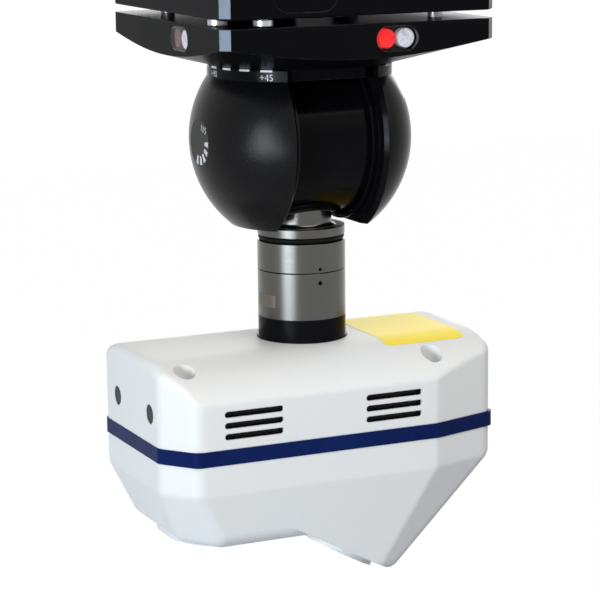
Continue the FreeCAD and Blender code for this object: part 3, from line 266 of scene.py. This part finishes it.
def softPlastic(name, colour, rough, grain=1500, depth=0.02, sheen=0.4):
    f = Finish(name)
    cloud = f.noise(110, 4)
    speck = f.noise(grain, 2)
    edge = f.edge(0.2)
    base = f.mix(cloud.clipped(0.35, 0.75), shade(colour, 0.7), colour)
    base = f.mix(edge * 0.5, base, shade(colour, 1.25, 0.01))
    return f.done({"Base Color": base, "Roughness": rough + speck * 0.1, "Specular IOR Level": sheen,
                   "Normal": f.relief(speck, depth, 0.6, 0.2)})


boardLook = {"colour": rgb(0.02, 0.16, 0.07), "deep": rgb(0.015, 0.12, 0.05), "track": rgb(0.06, 0.3, 0.14),
             "tracks": (900, 900, 900), "width": 0.06}


def boardGreen():
    look = boardLook
    f = Finish("boardGreen")
    track = f.node("TexBrick", {"offset": 0.3}, {"Vector": f.place(look["tracks"]), "Scale": 1.0,
                                                 "Mortar Size": look["width"], "Color1": look["colour"],
                                                 "Color2": look["deep"], "Mortar": look["track"]})
    return f.done({"Base Color": track, "Roughness": 0.35 + f.noise(200, 3) * 0.15,
                   "Normal": f.relief(f.noise(700, 3), 0.02, 0.5)})


lensLook = {"tint": rgb(0.95, 0.96, 0.98), "rough": 0.03, "bend": 1.16, "smear": 120, "wave": 60,
            "waveDepth": 0.006}


def lensClear():
    look = lensLook
    f = Finish("lensClear")
    smear = f.noise(look["smear"], 5).clipped(0.5, 0.85)
    return f.done({"Base Color": look["tint"], "Roughness": look["rough"] + smear * 0.06,
                   "Transmission Weight": 1.0, "IOR": look["bend"],
                   "Normal": f.relief(f.noise(look["wave"], 2), look["waveDepth"], 0.3)})


lampLook = {"front": (34, 36), "rings": 1300, "ringDepth": 0.03, "cloud": 420, "rough": 0.12, "sheen": 0.1,
            "edge": 0.5, "rim": 0.6, "soften": 0.4}


def lampLens(name, colour, lit, glow):          # lit only behind the front window
    look = lampLook
    f = Finish(name)
    rings = f.node("TexVoronoi", None, {"Vector": f.place(), "Scale": look["rings"]}) * 1.4
    base = f.mix(f.edge(look["edge"]) * 0.5 + rings * 0.6, colour, shade(colour, 0.45))
    along = f.node("SeparateXYZ", None, {0: f.place()}, out=1)
    near, far = look["front"]
    front = (-1.0 * along).clipped(near * mm, far * mm)
    warm = f.mix(f.noise(look["cloud"], 2).clipped(0.35, 0.7), lit, shade(lit, 1.5, 0.03))
    warm = f.mix(f.edge(look["rim"]) * 0.8, warm, shade(lit, 0.3))
    return f.done({"Base Color": base, "Roughness": look["rough"] + rings * 0.08,
                   "Specular IOR Level": look["sheen"],
                   "Normal": f.relief(rings, look["ringDepth"], 0.6, look["soften"]),
                   "Emission Color": f.mix(front, rgb(0, 0, 0), warm), "Emission Strength": glow})


windowLook = {"tint": rgb(0.62, 0.68, 0.74), "coat": rgb(0.75, 0.7, 1.0), "rough": 0.02, "clear": 0.9,
              "smear": 90}


def windowGlass():
    look = windowLook
    f = Finish("windowGlass")
    smear = f.noise(look["smear"], 5).clipped(0.5, 0.85)
    return f.done({"Base Color": look["tint"], "Roughness": look["rough"] + smear * 0.05,
                   "Transmission Weight": look["clear"], "IOR": 1.5, "Coat Weight": 0.5,
                   "Coat Tint": look["coat"]})


finishes = {
    "black_paint": blackPaint(),
    "black_texture": blackTexture(),
    "black_gloss": blackGloss(),
    "silver": turnedMetal("silver", rgb(0.105, 0.104, 0.101), 0.16, depth=0.003, streaks=0.2),
    "bright_steel": turnedMetal("brightSteel", rgb(0.74, 0.74, 0.75), 0.12, depth=0.004),
    "screw_steel": turnedMetal("screwSteel", rgb(0.5, 0.5, 0.52), 0.3),
    "brass_gear": turnedMetal("brassGear", rgb(0.72, 0.5, 0.2), 0.28),
    "motor_can": turnedMetal("motorCan", rgb(0.55, 0.55, 0.57), 0.33),
    "seal_black": softPlastic("sealBlack", rgb(0.006, 0.006, 0.006), 0.4, sheen=0.06),
    "cover_white": coverWhite(),
    "band_blue": bandBlue(),
    "cap_white": softPlastic("capWhite", rgb(0.74, 0.74, 0.73), 0.4),
    "lens_clear": lensClear(),
    "lamp_red": lampLens("lampRed", rgb(0.1, 0.006, 0.006), rgb(1.0, 0.006, 0.008), 0.9),
    "lamp_clear": lampLens("lampClear", rgb(0.6, 0.6, 0.66), rgb(0.1, 0.1, 0.11), 0.5),
    "board_green": boardGreen(),
    "chassis_aluminium": turnedMetal("chassisAluminium", rgb(0.6, 0.6, 0.61), 0.35, stretch=(1, 0.03, 0.03)),
    "module_black": softPlastic("moduleBlack", rgb(0.006, 0.006, 0.007), 0.35, sheen=0.12),
    "window_glass": windowGlass(),
}

for part in frame["record"]["subparts"]:
    node = frame["nodes"][part["node"]]
    node.data.materials.clear()
    node.data.materials.append(finishes[part["material_slot"]])
print("finishes on", len(frame["nodes"]), "nodes")


# Added pieces

def newPiece(name, mesh, body, finish):
    piece = bpy.data.objects.new(name, mesh)
    bpy.context.collection.objects.link(piece)
    mesh.materials.clear()
    mesh.materials.append(finish)
    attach(piece, body)
    return piece


def meshFrom(name, build):
    shape = bmesh.new()
    build(shape)
    bmesh.ops.recalc_face_normals(shape, faces=shape.faces)
    mesh = bpy.data.meshes.new(name)
    shape.to_mesh(mesh)
    shape.free()
    return mesh


def nodeTree(name):
    return treeOf(frame["nodes"][name].data)


def treeOf(mesh):
    corners = [vertex.co.copy() for vertex in mesh.vertices]
    return BVHTree.FromPolygons(corners, [tuple(face.vertices) for face in mesh.polygons])


def combined(mesh, other, way):
    # joins closed meshes, or takes the other out of the first
    whole = bpy.data.objects.new("whole", mesh)
    tool = bpy.data.objects.new("tool", other)
    for holder in (whole, tool):
        bpy.context.collection.objects.link(holder)
    cutting = whole.modifiers.new("cut", "BOOLEAN")
    cutting.operation = way
    cutting.solver = "EXACT"
    cutting.use_self = True
    cutting.object = tool
    bpy.context.view_layer.update()
    graph = bpy.context.evaluated_depsgraph_get()
    shaped = bpy.data.meshes.new_from_object(whole.evaluated_get(graph))
    for holder in (whole, tool):
        bpy.data.objects.remove(holder)
    return shaped


def bar(shape, ring, along):
    # a closed prism: the ring of points and its copy moved along
    start = [shape.verts.new(corner) for corner in ring]
    end = [shape.verts.new(corner + along) for corner in ring]
    shape.faces.new(start)
    shape.faces.new(list(reversed(end)))
    for index in range(len(ring)):
        after = (index + 1) % len(ring)
        shape.faces.new((start[index], end[index], end[after], start[after]))


# Top cover with its arched roof: the walls follow the outline of the solid one

roofLook = {"half": 29.8, "flat": 11.0, "drop": 10.0, "wall": 2.0, "round": 3.0, "step": 1.5, "steps": 7,
            "innerRound": 1.0, "rings": 14, "spine": 22.0, "fade": 4, "probe": 0.05, "level": 0.01,
            "apart": 0.02, "merge": 0.004, "tiny": 0.001, "sharp": 32,
            "pocket": 3.0, "pocketDeep": 5.2, "cup": 1.0, "pocketCut": 20,
            "pockets": ((-44.6, 20.2), (29.5, 23.3)),
            "ventX": (-28.2, 14.5), "ventLength": 17.6, "ventHeight": 1.8, "ventTop": 13.1, "ventPitch": 3.1,
            "vents": 3, "ventOut": 1, "ventIn": 2, "thin": 0.8, "margin": 0.4, "plugOut": 2, "plugCut": 5,
            "plugSides": 32}


def archAt(y):
    # the roof's level at a place across it, in mm: 0 on its flat, and less beyond
    look = roofLook
    run = look["half"] - look["flat"]
    radius = (run ** 2 + look["drop"] ** 2) / (2 * look["drop"])
    beyond = max(0.0, abs(y) - look["flat"])
    return math.sqrt(max(radius ** 2 - beyond ** 2, 0.0)) - radius


def archSlope(y):
    probe = roofLook["probe"]
    return (archAt(y + probe) - archAt(y - probe)) / (2 * probe)


def coverOutline():
    # the solid cover's outline at its foot: places with the way out, in mm
    look = roofLook
    corners = [vertex.co for vertex in frame["nodes"]["top_cover"].data.vertices]
    foot = min(corner.z for corner in corners)
    low = [(corner.x / mm, corner.y / mm) for corner in corners if corner.z < foot + look["level"] * mm]
    hull = [Vector(low[index]) for index in convex_hull_2d(low)]
    area = sum(hull[i - 1].x * hull[i].y - hull[i].x * hull[i - 1].y for i in range(len(hull)))
    if area < 0:
        hull.reverse()
    hull = [spot for i, spot in enumerate(hull) if (spot - hull[i - 1]).length > look["apart"]]
    ways = []
    for i, spot in enumerate(hull):
        before = (spot - hull[i - 1]).normalized()
        after = (hull[(i + 1) % len(hull)] - spot).normalized()
        ways.append([Vector((side.y, -side.x)) for side in (before, after)])
    ring = []
    for i, spot in enumerate(hull):
        first, second = ways[i]
        share = 1 + first.dot(second)
        ring.append((spot, (first + second) / share))
        end = hull[(i + 1) % len(hull)]
        pieces = math.ceil((end - spot).length / look["step"])
        for piece in range(1, pieces):
            ring.append((spot.lerp(end, piece / pieces), second))
    return ring, foot / mm - roofCentre.z / mm


def coverSkin(shape, inset, radius):
    # open at the foot; the first ring is the foot's
    look = roofLook
    outline, foot = coverOutline()
    rings = [[] for _ in range(2 + look["steps"] + look["rings"])]
    for spot, way in outline:
        wall = spot - way * inset
        edge = archAt(wall.y) - inset
        slope = math.atan(-archSlope(wall.y) * way.y / way.length)
        turn = math.pi / 2 - slope
        reach = radius * math.tan(turn / 2)
        rings[0].append((wall.x, wall.y, foot))
        rings[1].append((wall.x, wall.y, edge - reach))
        for step in range(1, look["steps"] + 1):
            angle = turn * step / look["steps"]
            inward = radius * (1 - math.cos(angle))
            place = wall - way * inward
            rings[1 + step].append((place.x, place.y, edge - reach + radius * math.sin(angle)))
        last = Vector(rings[1 + look["steps"]][-1])
        middle = Vector((min(max(last.x, -look["spine"]), look["spine"]), 0))
        lift = last.z - (archAt(last.y) - inset)
        for step in range(1, look["rings"] + 1):
            share = step / look["rings"]
            place = Vector((last.x, last.y)).lerp(middle, share)
            level = archAt(place.y) - inset + lift * (1 - share) ** look["fade"]
            rings[1 + look["steps"] + step].append((place.x, place.y, level))
    made = [[shape.verts.new(Vector(corner) * mm + roofCentre) for corner in ring] for ring in rings]
    for lower, upper in zip(made, made[1:]):
        for index in range(len(lower)):
            before = index - 1
            shape.faces.new((lower[before], lower[index], upper[index], upper[before]))
    return made[0]


def buildCoverShell(shape):
    look = roofLook
    outer = coverSkin(shape, 0.0, look["round"])
    inner = coverSkin(shape, look["wall"], look["innerRound"])
    for index in range(len(outer)):
        shape.faces.new((outer[index - 1], outer[index], inner[index], inner[index - 1]))
    bmesh.ops.remove_doubles(shape, verts=shape.verts, dist=look["merge"] * mm)
    bmesh.ops.dissolve_degenerate(shape, edges=shape.edges, dist=look["tiny"] * mm)


def spotOnRoof(x, y, z):
    return Vector((x, y, z)) * mm + roofCentre


def roundRing(radius, x, y, z, sides=40):
    turns = [math.tau * i / sides for i in range(sides)]
    return [spotOnRoof(x + radius * math.cos(turn), y + radius * math.sin(turn), z) for turn in turns]


def slotRing(length, height, x, level, y, sides=10):
    ring = []
    for side in (1, -1):
        for i in range(sides + 1):
            angle = side * math.pi / 2 - math.pi * i / sides
            ring.append(spotOnRoof(x + side * (length - height) / 2 + height / 2 * math.cos(angle), y,
                                   level + height / 2 * math.sin(angle)))
    return ring


pocketSpots = [(x, side * y) for x, y in roofLook["pockets"] for side in (-1, 1)]


def buildCoverCuts(shape):
    look = roofLook
    for x, y in pocketSpots:
        ring = roundRing(look["pocket"], x, y, archAt(y) - look["pocketDeep"])
        bar(shape, ring, Vector((0, 0, look["pocketCut"])) * mm)
    for x in look["ventX"]:
        for row in range(look["vents"]):
            level = -(look["ventTop"] + row * look["ventPitch"])
            ring = slotRing(look["ventLength"], look["ventHeight"], x, level, -look["half"] - look["ventOut"])
            bar(shape, ring, Vector((0, look["wall"] + look["ventIn"], 0)) * mm)
    plugs = frame["nodes"]["end_plugs"].data.vertices
    sides = [[corner.co for corner in plugs if (corner.co.y > 0) == ahead] for ahead in (True, False)]
    for corners in sides:
        low = Vector([min(corner[axis] for corner in corners) for axis in range(3)])
        high = Vector([max(corner[axis] for corner in corners) for axis in range(3)])
        radius = (high.y - low.y) / 2
        middle = (low + high) / 2
        turns = [math.tau * i / look["plugSides"] for i in range(look["plugSides"])]
        ring = [Vector((low.x - look["plugOut"] * mm, middle.y + radius * math.cos(turn),
                        middle.z + radius * math.sin(turn))) for turn in turns]
        bar(shape, ring, Vector((look["plugCut"], 0, 0)) * mm)


def buildVentRecess(shape):
    # thins the wall behind each group of slots
    look = roofLook
    reach = look["ventLength"] / 2 + look["margin"]
    top = -look["ventTop"] + look["ventHeight"] / 2 + look["margin"]
    low = top - (look["vents"] - 1) * look["ventPitch"] - look["ventHeight"] - 2 * look["margin"]
    start = -(look["half"] - look["thin"])
    for x in look["ventX"]:
        bar(shape, [spotOnRoof(x + side * reach, start, level) for side, level in
                    ((-1, low), (1, low), (1, top), (-1, top))], Vector((0, look["wall"], 0)) * mm)


def buildPosts(shape):
    # round posts under the pockets, their tops hidden halfway into the roof's wall
    look = roofLook
    radius = look["pocket"] + look["cup"]
    sunk = look["wall"] / 2
    for x, y in pocketSpots:
        foot = [shape.verts.new(corner) for corner in
                roundRing(radius, x, y, archAt(y) - look["pocketDeep"] - look["cup"])]
        head = [shape.verts.new(corner + Vector((0, 0, (archAt(corner.y / mm) - sunk) * mm)))
                for corner in roundRing(radius, x, y, 0)]
        middle = shape.verts.new(spotOnRoof(x, y, archAt(y) - sunk))
        shape.faces.new(list(reversed(foot)))
        for i in range(len(foot)):
            shape.faces.new((foot[i - 1], foot[i], head[i], head[i - 1]))
            shape.faces.new((head[i - 1], head[i], middle))


def addRoofCover():
    shell = meshFrom("coverShell", buildCoverShell)
    shell = combined(shell, meshFrom("posts", buildPosts), "UNION")
    shell = combined(shell, meshFrom("recess", buildVentRecess), "DIFFERENCE")
    shell = combined(shell, meshFrom("cuts", buildCoverCuts), "DIFFERENCE")
    for face in shell.polygons:
        face.use_smooth = True
    shell.set_sharp_from_angle(angle=math.radians(roofLook["sharp"]))
    piece = newPiece("roofCover", shell, "scanner", finishes["cover_white"])
    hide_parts("top_cover")
    return treeOf(shell)


roofTree = addRoofCover()
print("roof on")


# Yellow sticker on the roof, bare

sticker = {"x": (17.2, 42.7), "y": (-19.2, 14.6), "corner": 2.2, "step": 0.8, "lift": 0.06, "above": -80,
           "colour": rgb(1.0, 0.79, 0.03), "pale": rgb(1.0, 0.82, 0.07), "rough": 0.36, "sheen": 0.15,
           "grain": 500, "grainDepth": 0.006}


def stickerFinish():
    look = sticker
    f = Finish("stickerYellow")
    grain = f.noise(look["grain"], 3)
    cloud = f.noise(40, 3)
    base = f.mix(cloud.clipped(0.4, 0.8) * 0.4 + grain * 0.1, look["colour"], look["pale"])
    return f.done({"Base Color": base, "Roughness": look["rough"] + grain * 0.12,
                   "Specular IOR Level": look["sheen"], "Normal": f.relief(grain, look["grainDepth"], 0.5)})


def roundedSpot(u, v, look):
    # squeezes a square grid's corners onto the rounded outline
    low, high = Vector((look["x"][0], look["y"][0])), Vector((look["x"][1], look["y"][1]))
    spot = Vector((low.x + (high.x - low.x) * u, low.y + (high.y - low.y) * v))
    inner = Vector((min(max(spot.x, low.x + look["corner"]), high.x - look["corner"]),
                    min(max(spot.y, low.y + look["corner"]), high.y - look["corner"])))
    away = spot - inner
    if away.x and away.y:
        reach = max(abs(away.x), abs(away.y))
        spot = inner + away.normalized() * reach
    return spot


def buildSticker(shape):
    look = sticker
    columns = int((look["x"][1] - look["x"][0]) / look["step"])
    rows = int((look["y"][1] - look["y"][0]) / look["step"])
    grid = []
    for column in range(columns + 1):
        line = []
        for row in range(rows + 1):
            spot = roundedSpot(column / columns, row / rows, look) * mm
            hit = roofTree.ray_cast(Vector((spot.x, spot.y, look["above"] * mm)), Vector((0, 0, -1)))
            line.append(shape.verts.new(hit[0] + hit[1].normalized() * look["lift"] * mm))
        grid.append(line)
    for column in range(columns):
        for row in range(rows):
            shape.faces.new((grid[column][row], grid[column + 1][row], grid[column + 1][row + 1],
                             grid[column][row + 1]))


newPiece("sticker", meshFrom("sticker", buildSticker), "scanner", stickerFinish())
print("sticker on")


# Printed marks, and a painted reflection on the joint: flat shapes in u, v laid onto a round or flat face

def onCylinder(radius, turn, level):
    # u runs to the right and v up, as seen from outside; turn is counted from -Y towards +X
    def laid(u, v):
        angle = math.radians(turn) + u / radius
        return Vector((radius * math.sin(angle), -radius * math.cos(angle), level + v)) * mm
    return laid


def barShape(left, right, low, high, pieces=6):
    cuts = [left + (right - left) * step / pieces for step in range(pieces + 1)]
    return [[(start, low), (end, low), (end, high), (start, high)] for start, end in zip(cuts, cuts[1:])]


def dotShape(radius, sides=24):
    turns = [math.tau * step / sides for step in range(sides)]
    return [[(radius * math.cos(turn), radius * math.sin(turn)) for turn in turns]]


def wedgeShape(near, far, middle, width, pieces=4):
    faces = []
    for step in range(pieces):
        first = math.radians(middle - width / 2 + width * step / pieces)
        second = math.radians(middle - width / 2 + width * (step + 1) / pieces)
        ends = ((near, first), (far, first), (far, second), (near, second))
        faces.append([(reach * math.cos(angle), reach * math.sin(angle)) for reach, angle in ends])
    return faces


digitLook = {"share": 0.7, "smooth": 3}         # a digit's height as a share of the font's size


def numberShape(digits, height, lean=0.0):
    curve = bpy.data.curves.new("digits", "FONT")
    curve.body = digits
    curve.size = height / digitLook["share"]
    curve.align_x = "CENTER"
    curve.align_y = "CENTER"
    curve.resolution_u = digitLook["smooth"]
    holder = bpy.data.objects.new("digits", curve)
    bpy.context.collection.objects.link(holder)
    flat = bpy.data.meshes.new_from_object(holder)
    bpy.data.objects.remove(holder)
    c, s = math.cos(math.radians(lean)), math.sin(math.radians(lean))
    spots = [corner.co for corner in flat.vertices]
    turned = [(spot.x * c - spot.y * s, spot.x * s + spot.y * c) for spot in spots]
    faces = [[turned[index] for index in face.vertices] for face in flat.polygons]
    bpy.data.meshes.remove(flat)
    return faces


def lay(shape, faces, laid, shift=(0.0, 0.0)):
    for face in faces:
        shape.faces.new([shape.verts.new(laid(u + shift[0], v + shift[1])) for u, v in face])


ringMarks = {"radius": 25.99, "level": -37.65, "mark": (3.4, 0.55), "every": 15, "upTo": 165,
             "numbers": 1.8, "numbersEvery": 45, "below": -1.85, "outside": 40, "slack": 1}


def buildRingMarks(shape):
    look = ringMarks
    ring = nodeTree("scale_ring")
    wide, tall = look["mark"]
    for turn in range(-look["upTo"], 180 + 1, look["every"]):
        outward = Vector((math.sin(math.radians(turn)), -math.cos(math.radians(turn)), 0))
        start = outward * look["outside"] * mm + Vector((0, 0, look["level"] * mm))
        hit = ring.ray_cast(start, -outward)
        reach = (look["outside"] - look["radius"] + look["slack"]) * mm
        if hit[0] is None or (start - hit[0]).length > reach:
            continue
        laid = onCylinder(look["radius"], turn, look["level"])
        lay(shape, barShape(-wide / 2, wide / 2, -tall / 2, tall / 2), laid)
        if turn % look["numbersEvery"] == 0:
            shown = str(abs(turn)) if turn in (0, 180) else f"{-turn:+d}"
            lay(shape, numberShape(shown, look["numbers"]), laid, (0, look["below"]))


dialMarks = {"near": 3.7, "far": 6.2, "width": 14, "spacing": 26.4, "count": 5, "lift": 0.04, "digits": "105",
             "height": 1.9, "spot": (2.9, 3.9), "lean": -12}


def buildDialMarks(shape):
    look = dialMarks
    disc = frame["nodes"]["tilt_scale_disc"]
    side = min(vertex.co.x for vertex in disc.data.vertices) - look["lift"] * mm

    def laid(u, v):                              # u to the right as seen from the left side
        return Vector((side, -u * mm, ballCentre.z + v * mm))
    for index in range(look["count"]):
        lay(shape, wedgeShape(look["near"], look["far"], -index * look["spacing"], look["width"]), laid)
    lay(shape, numberShape(look["digits"], look["height"], look["lean"]), laid, look["spot"])


markWhite = softPlastic("markWhite", rgb(0.78, 0.8, 0.84), 0.45, grain=3000, depth=0.004)
newPiece("ringMarks", meshFrom("ringMarks", buildRingMarks), "ball_fork", markWhite)
newPiece("dialMarks", meshFrom("dialMarks", buildDialMarks), "ball_fork", markWhite)

jointDots = {"radius": 12.52, "sizes": (0.48, 0.62), "levels": (-94.55, -98.5)}


def buildDot(index):
    def build(shape):
        look = jointDots
        lay(shape, dotShape(look["sizes"][index]), onCylinder(look["radius"], 0, look["levels"][index]))
    return build


markBlack = softPlastic("markBlack", rgb(0.003, 0.003, 0.003), 0.6, sheen=0.02)
newPiece("upperDot", meshFrom("upperDot", buildDot(0)), "tilt_arm", markBlack)
newPiece("lowerDot", meshFrom("lowerDot", buildDot(1)), "scanner", markBlack)

# Brownish metal patch on the joint's left side: a painted warm reflection, not a mark on the part
paintedWarmReflection = {"radius": 12.53, "middle": -80, "wide": 8.4, "low": -105.7, "high": -102.3, "pieces": 12}


def buildPatch(shape):
    look = paintedWarmReflection
    lay(shape, barShape(-look["wide"] / 2, look["wide"] / 2, 0, look["high"] - look["low"], look["pieces"]),
        onCylinder(look["radius"], look["middle"], look["low"]))


# its brownish metal colour is the painted reflection
newPiece("paintedWarmReflection", meshFrom("paintedWarmReflection", buildPatch), "scanner",
         turnedMetal("paintedReflectionMetal", rgb(0.16, 0.14, 0.12), 0.45))
print("marks on")


# Camera, set to the photograph: turns in radians, focal length and picture in pixels

cameraFit = {"azimuth": 0.434045, "height": 0.124974, "roll": -0.010446, "distance": 654.487,
             "focal": 2315.946, "picture": 600, "sensor": 36, "near": 10,
             "aimAcross": -0.494, "aimUp": -47.165}


def addCamera():
    fit = cameraFit
    turn, rise = fit["azimuth"], fit["height"]
    spot = Vector((-math.sin(turn) * math.cos(rise), -math.cos(turn) * math.cos(rise), math.sin(rise)))
    spot *= fit["distance"]
    across = Vector((math.cos(turn), -math.sin(turn), 0))
    aim = across * fit["aimAcross"] + Vector((0, 0, fit["aimUp"]))
    ahead = (aim - spot).normalized()
    side = ahead.cross(Vector((0, 0, 1))).normalized()
    up = side.cross(ahead)
    c, s = math.cos(fit["roll"]), math.sin(fit["roll"])
    side, up = side * c + up * s, up * c - side * s
    lens = bpy.data.cameras.new("viewer")
    lens.sensor_width = fit["sensor"]
    lens.lens = fit["focal"] / fit["picture"] * fit["sensor"]
    lens.clip_start = fit["near"] * mm
    camera = bpy.data.objects.new("viewer", lens)
    turnMatrix = Matrix((side, up, -ahead)).transposed().to_4x4()
    camera.matrix_world = Matrix.Translation(spot * mm + ballCentre) @ turnMatrix
    bpy.context.collection.objects.link(camera)
    bpy.context.scene.camera = camera


addCamera()


# Studio: a white floor far below, a white surround, soft lamps

studio = {"floor": -0.5, "size": 6.0, "surround": 0.09, "floorGlow": 1.09, "rayShare": 1.1,
          "paint": rgb(0.3, 0.32, 0.36), "aim": (0, 0, -0.1)}

lamps = {
    "key": {"spot": (-0.95, -0.58, -0.2), "size": (0.8, 0.26), "power": 4.7, "colour": (0.9, 0.96, 1.0)},
    "glint": {"spot": (-0.975, -0.53, 0.02), "size": (0.44, 0.44), "power": 6.2, "colour": (0.85, 0.93, 1.0)},
    "front": {"spot": (0.05, -0.8, 1.0), "size": (1.6, 1.2), "power": 12.8, "colour": (1.0, 0.97, 0.92)},
    "side": {"spot": (1.0, -0.62, 0.4), "size": (1.5, 1.4), "power": 3.6, "colour": (1.0, 0.99, 0.96)},
    "back": {"spot": (0.6, 0.95, 0.3), "size": (1.0, 0.9), "power": 4.5, "colour": (1.0, 1.0, 1.0)},
}


def whiteToView(f, shader):
    # white to the eye and in reflections, and still able to hold a soft shadow
    path = f.tree.nodes.new("ShaderNodeLightPath")
    seen = Signal(f, path.outputs["Is Camera Ray"]) + Signal(f, path.outputs["Is Glossy Ray"])
    seen = seen + Signal(f, path.outputs["Is Transmission Ray"])
    glow = f.node("Emission", None, {"Color": rgb(1, 1, 1), "Strength": studio["floorGlow"]})
    return f.node("MixShader", None, {0: seen.clipped(0.0, studio["rayShare"]), 1: shader, 2: glow})


def addFloor():
    def plane(shape):
        half = studio["size"] / 2
        ends = ((-1, -1), (1, -1), (1, 1), (-1, 1))
        shape.faces.new([shape.verts.new((x * half, y * half, studio["floor"])) for x, y in ends])
    f = Finish("floorWhite")
    paint = f.node("BsdfDiffuse", None, {"Color": studio["paint"]})
    f.tree.links.new(whiteToView(f, paint).socket, f.end.inputs["Surface"])
    floor = bpy.data.objects.new("floor", meshFrom("floor", plane))
    floor.data.materials.append(f.material)
    bpy.context.collection.objects.link(floor)


def addSurround():
    world = bpy.data.worlds.new("surround")
    bpy.context.scene.world = world
    world.use_nodes = True
    tree = world.node_tree
    tree.nodes.clear()
    path = tree.nodes.new("ShaderNodeLightPath")
    seen = path.outputs["Is Camera Ray"]
    for ray in ("Is Glossy Ray", "Is Transmission Ray"):
        either = tree.nodes.new("ShaderNodeMath")
        either.operation = "MAXIMUM"
        tree.links.new(seen, either.inputs[0])
        tree.links.new(path.outputs[ray], either.inputs[1])
        seen = either.outputs[0]
    strength = tree.nodes.new("ShaderNodeMapRange")
    tree.links.new(seen, strength.inputs["Value"])
    strength.inputs["To Min"].default_value = studio["surround"]
    strength.inputs["To Max"].default_value = 1.0
    glow = tree.nodes.new("ShaderNodeBackground")
    tree.links.new(strength.outputs[0], glow.inputs["Strength"])
    glow.inputs["Color"].default_value = rgb(1, 1, 1)
    end = tree.nodes.new("ShaderNodeOutputWorld")
    tree.links.new(glow.outputs[0], end.inputs["Surface"])


def addLamp(name, lamp):
    light = bpy.data.lights.new(name, "AREA")
    light.shape = "ELLIPSE"
    light.size, light.size_y = lamp["size"]
    light.energy = lamp["power"]
    light.color = lamp["colour"]
    holder = bpy.data.objects.new(name, light)
    spot = Vector(lamp["spot"])
    holder.location = spot
    holder.rotation_euler = (Vector(studio["aim"]) - spot).to_track_quat("-Z", "Y").to_euler()
    bpy.context.collection.objects.link(holder)


addFloor()
addSurround()
for name, lamp in lamps.items():
    addLamp(name, lamp)
bpy.context.scene.view_settings.view_transform = "Standard"
print("studio set")
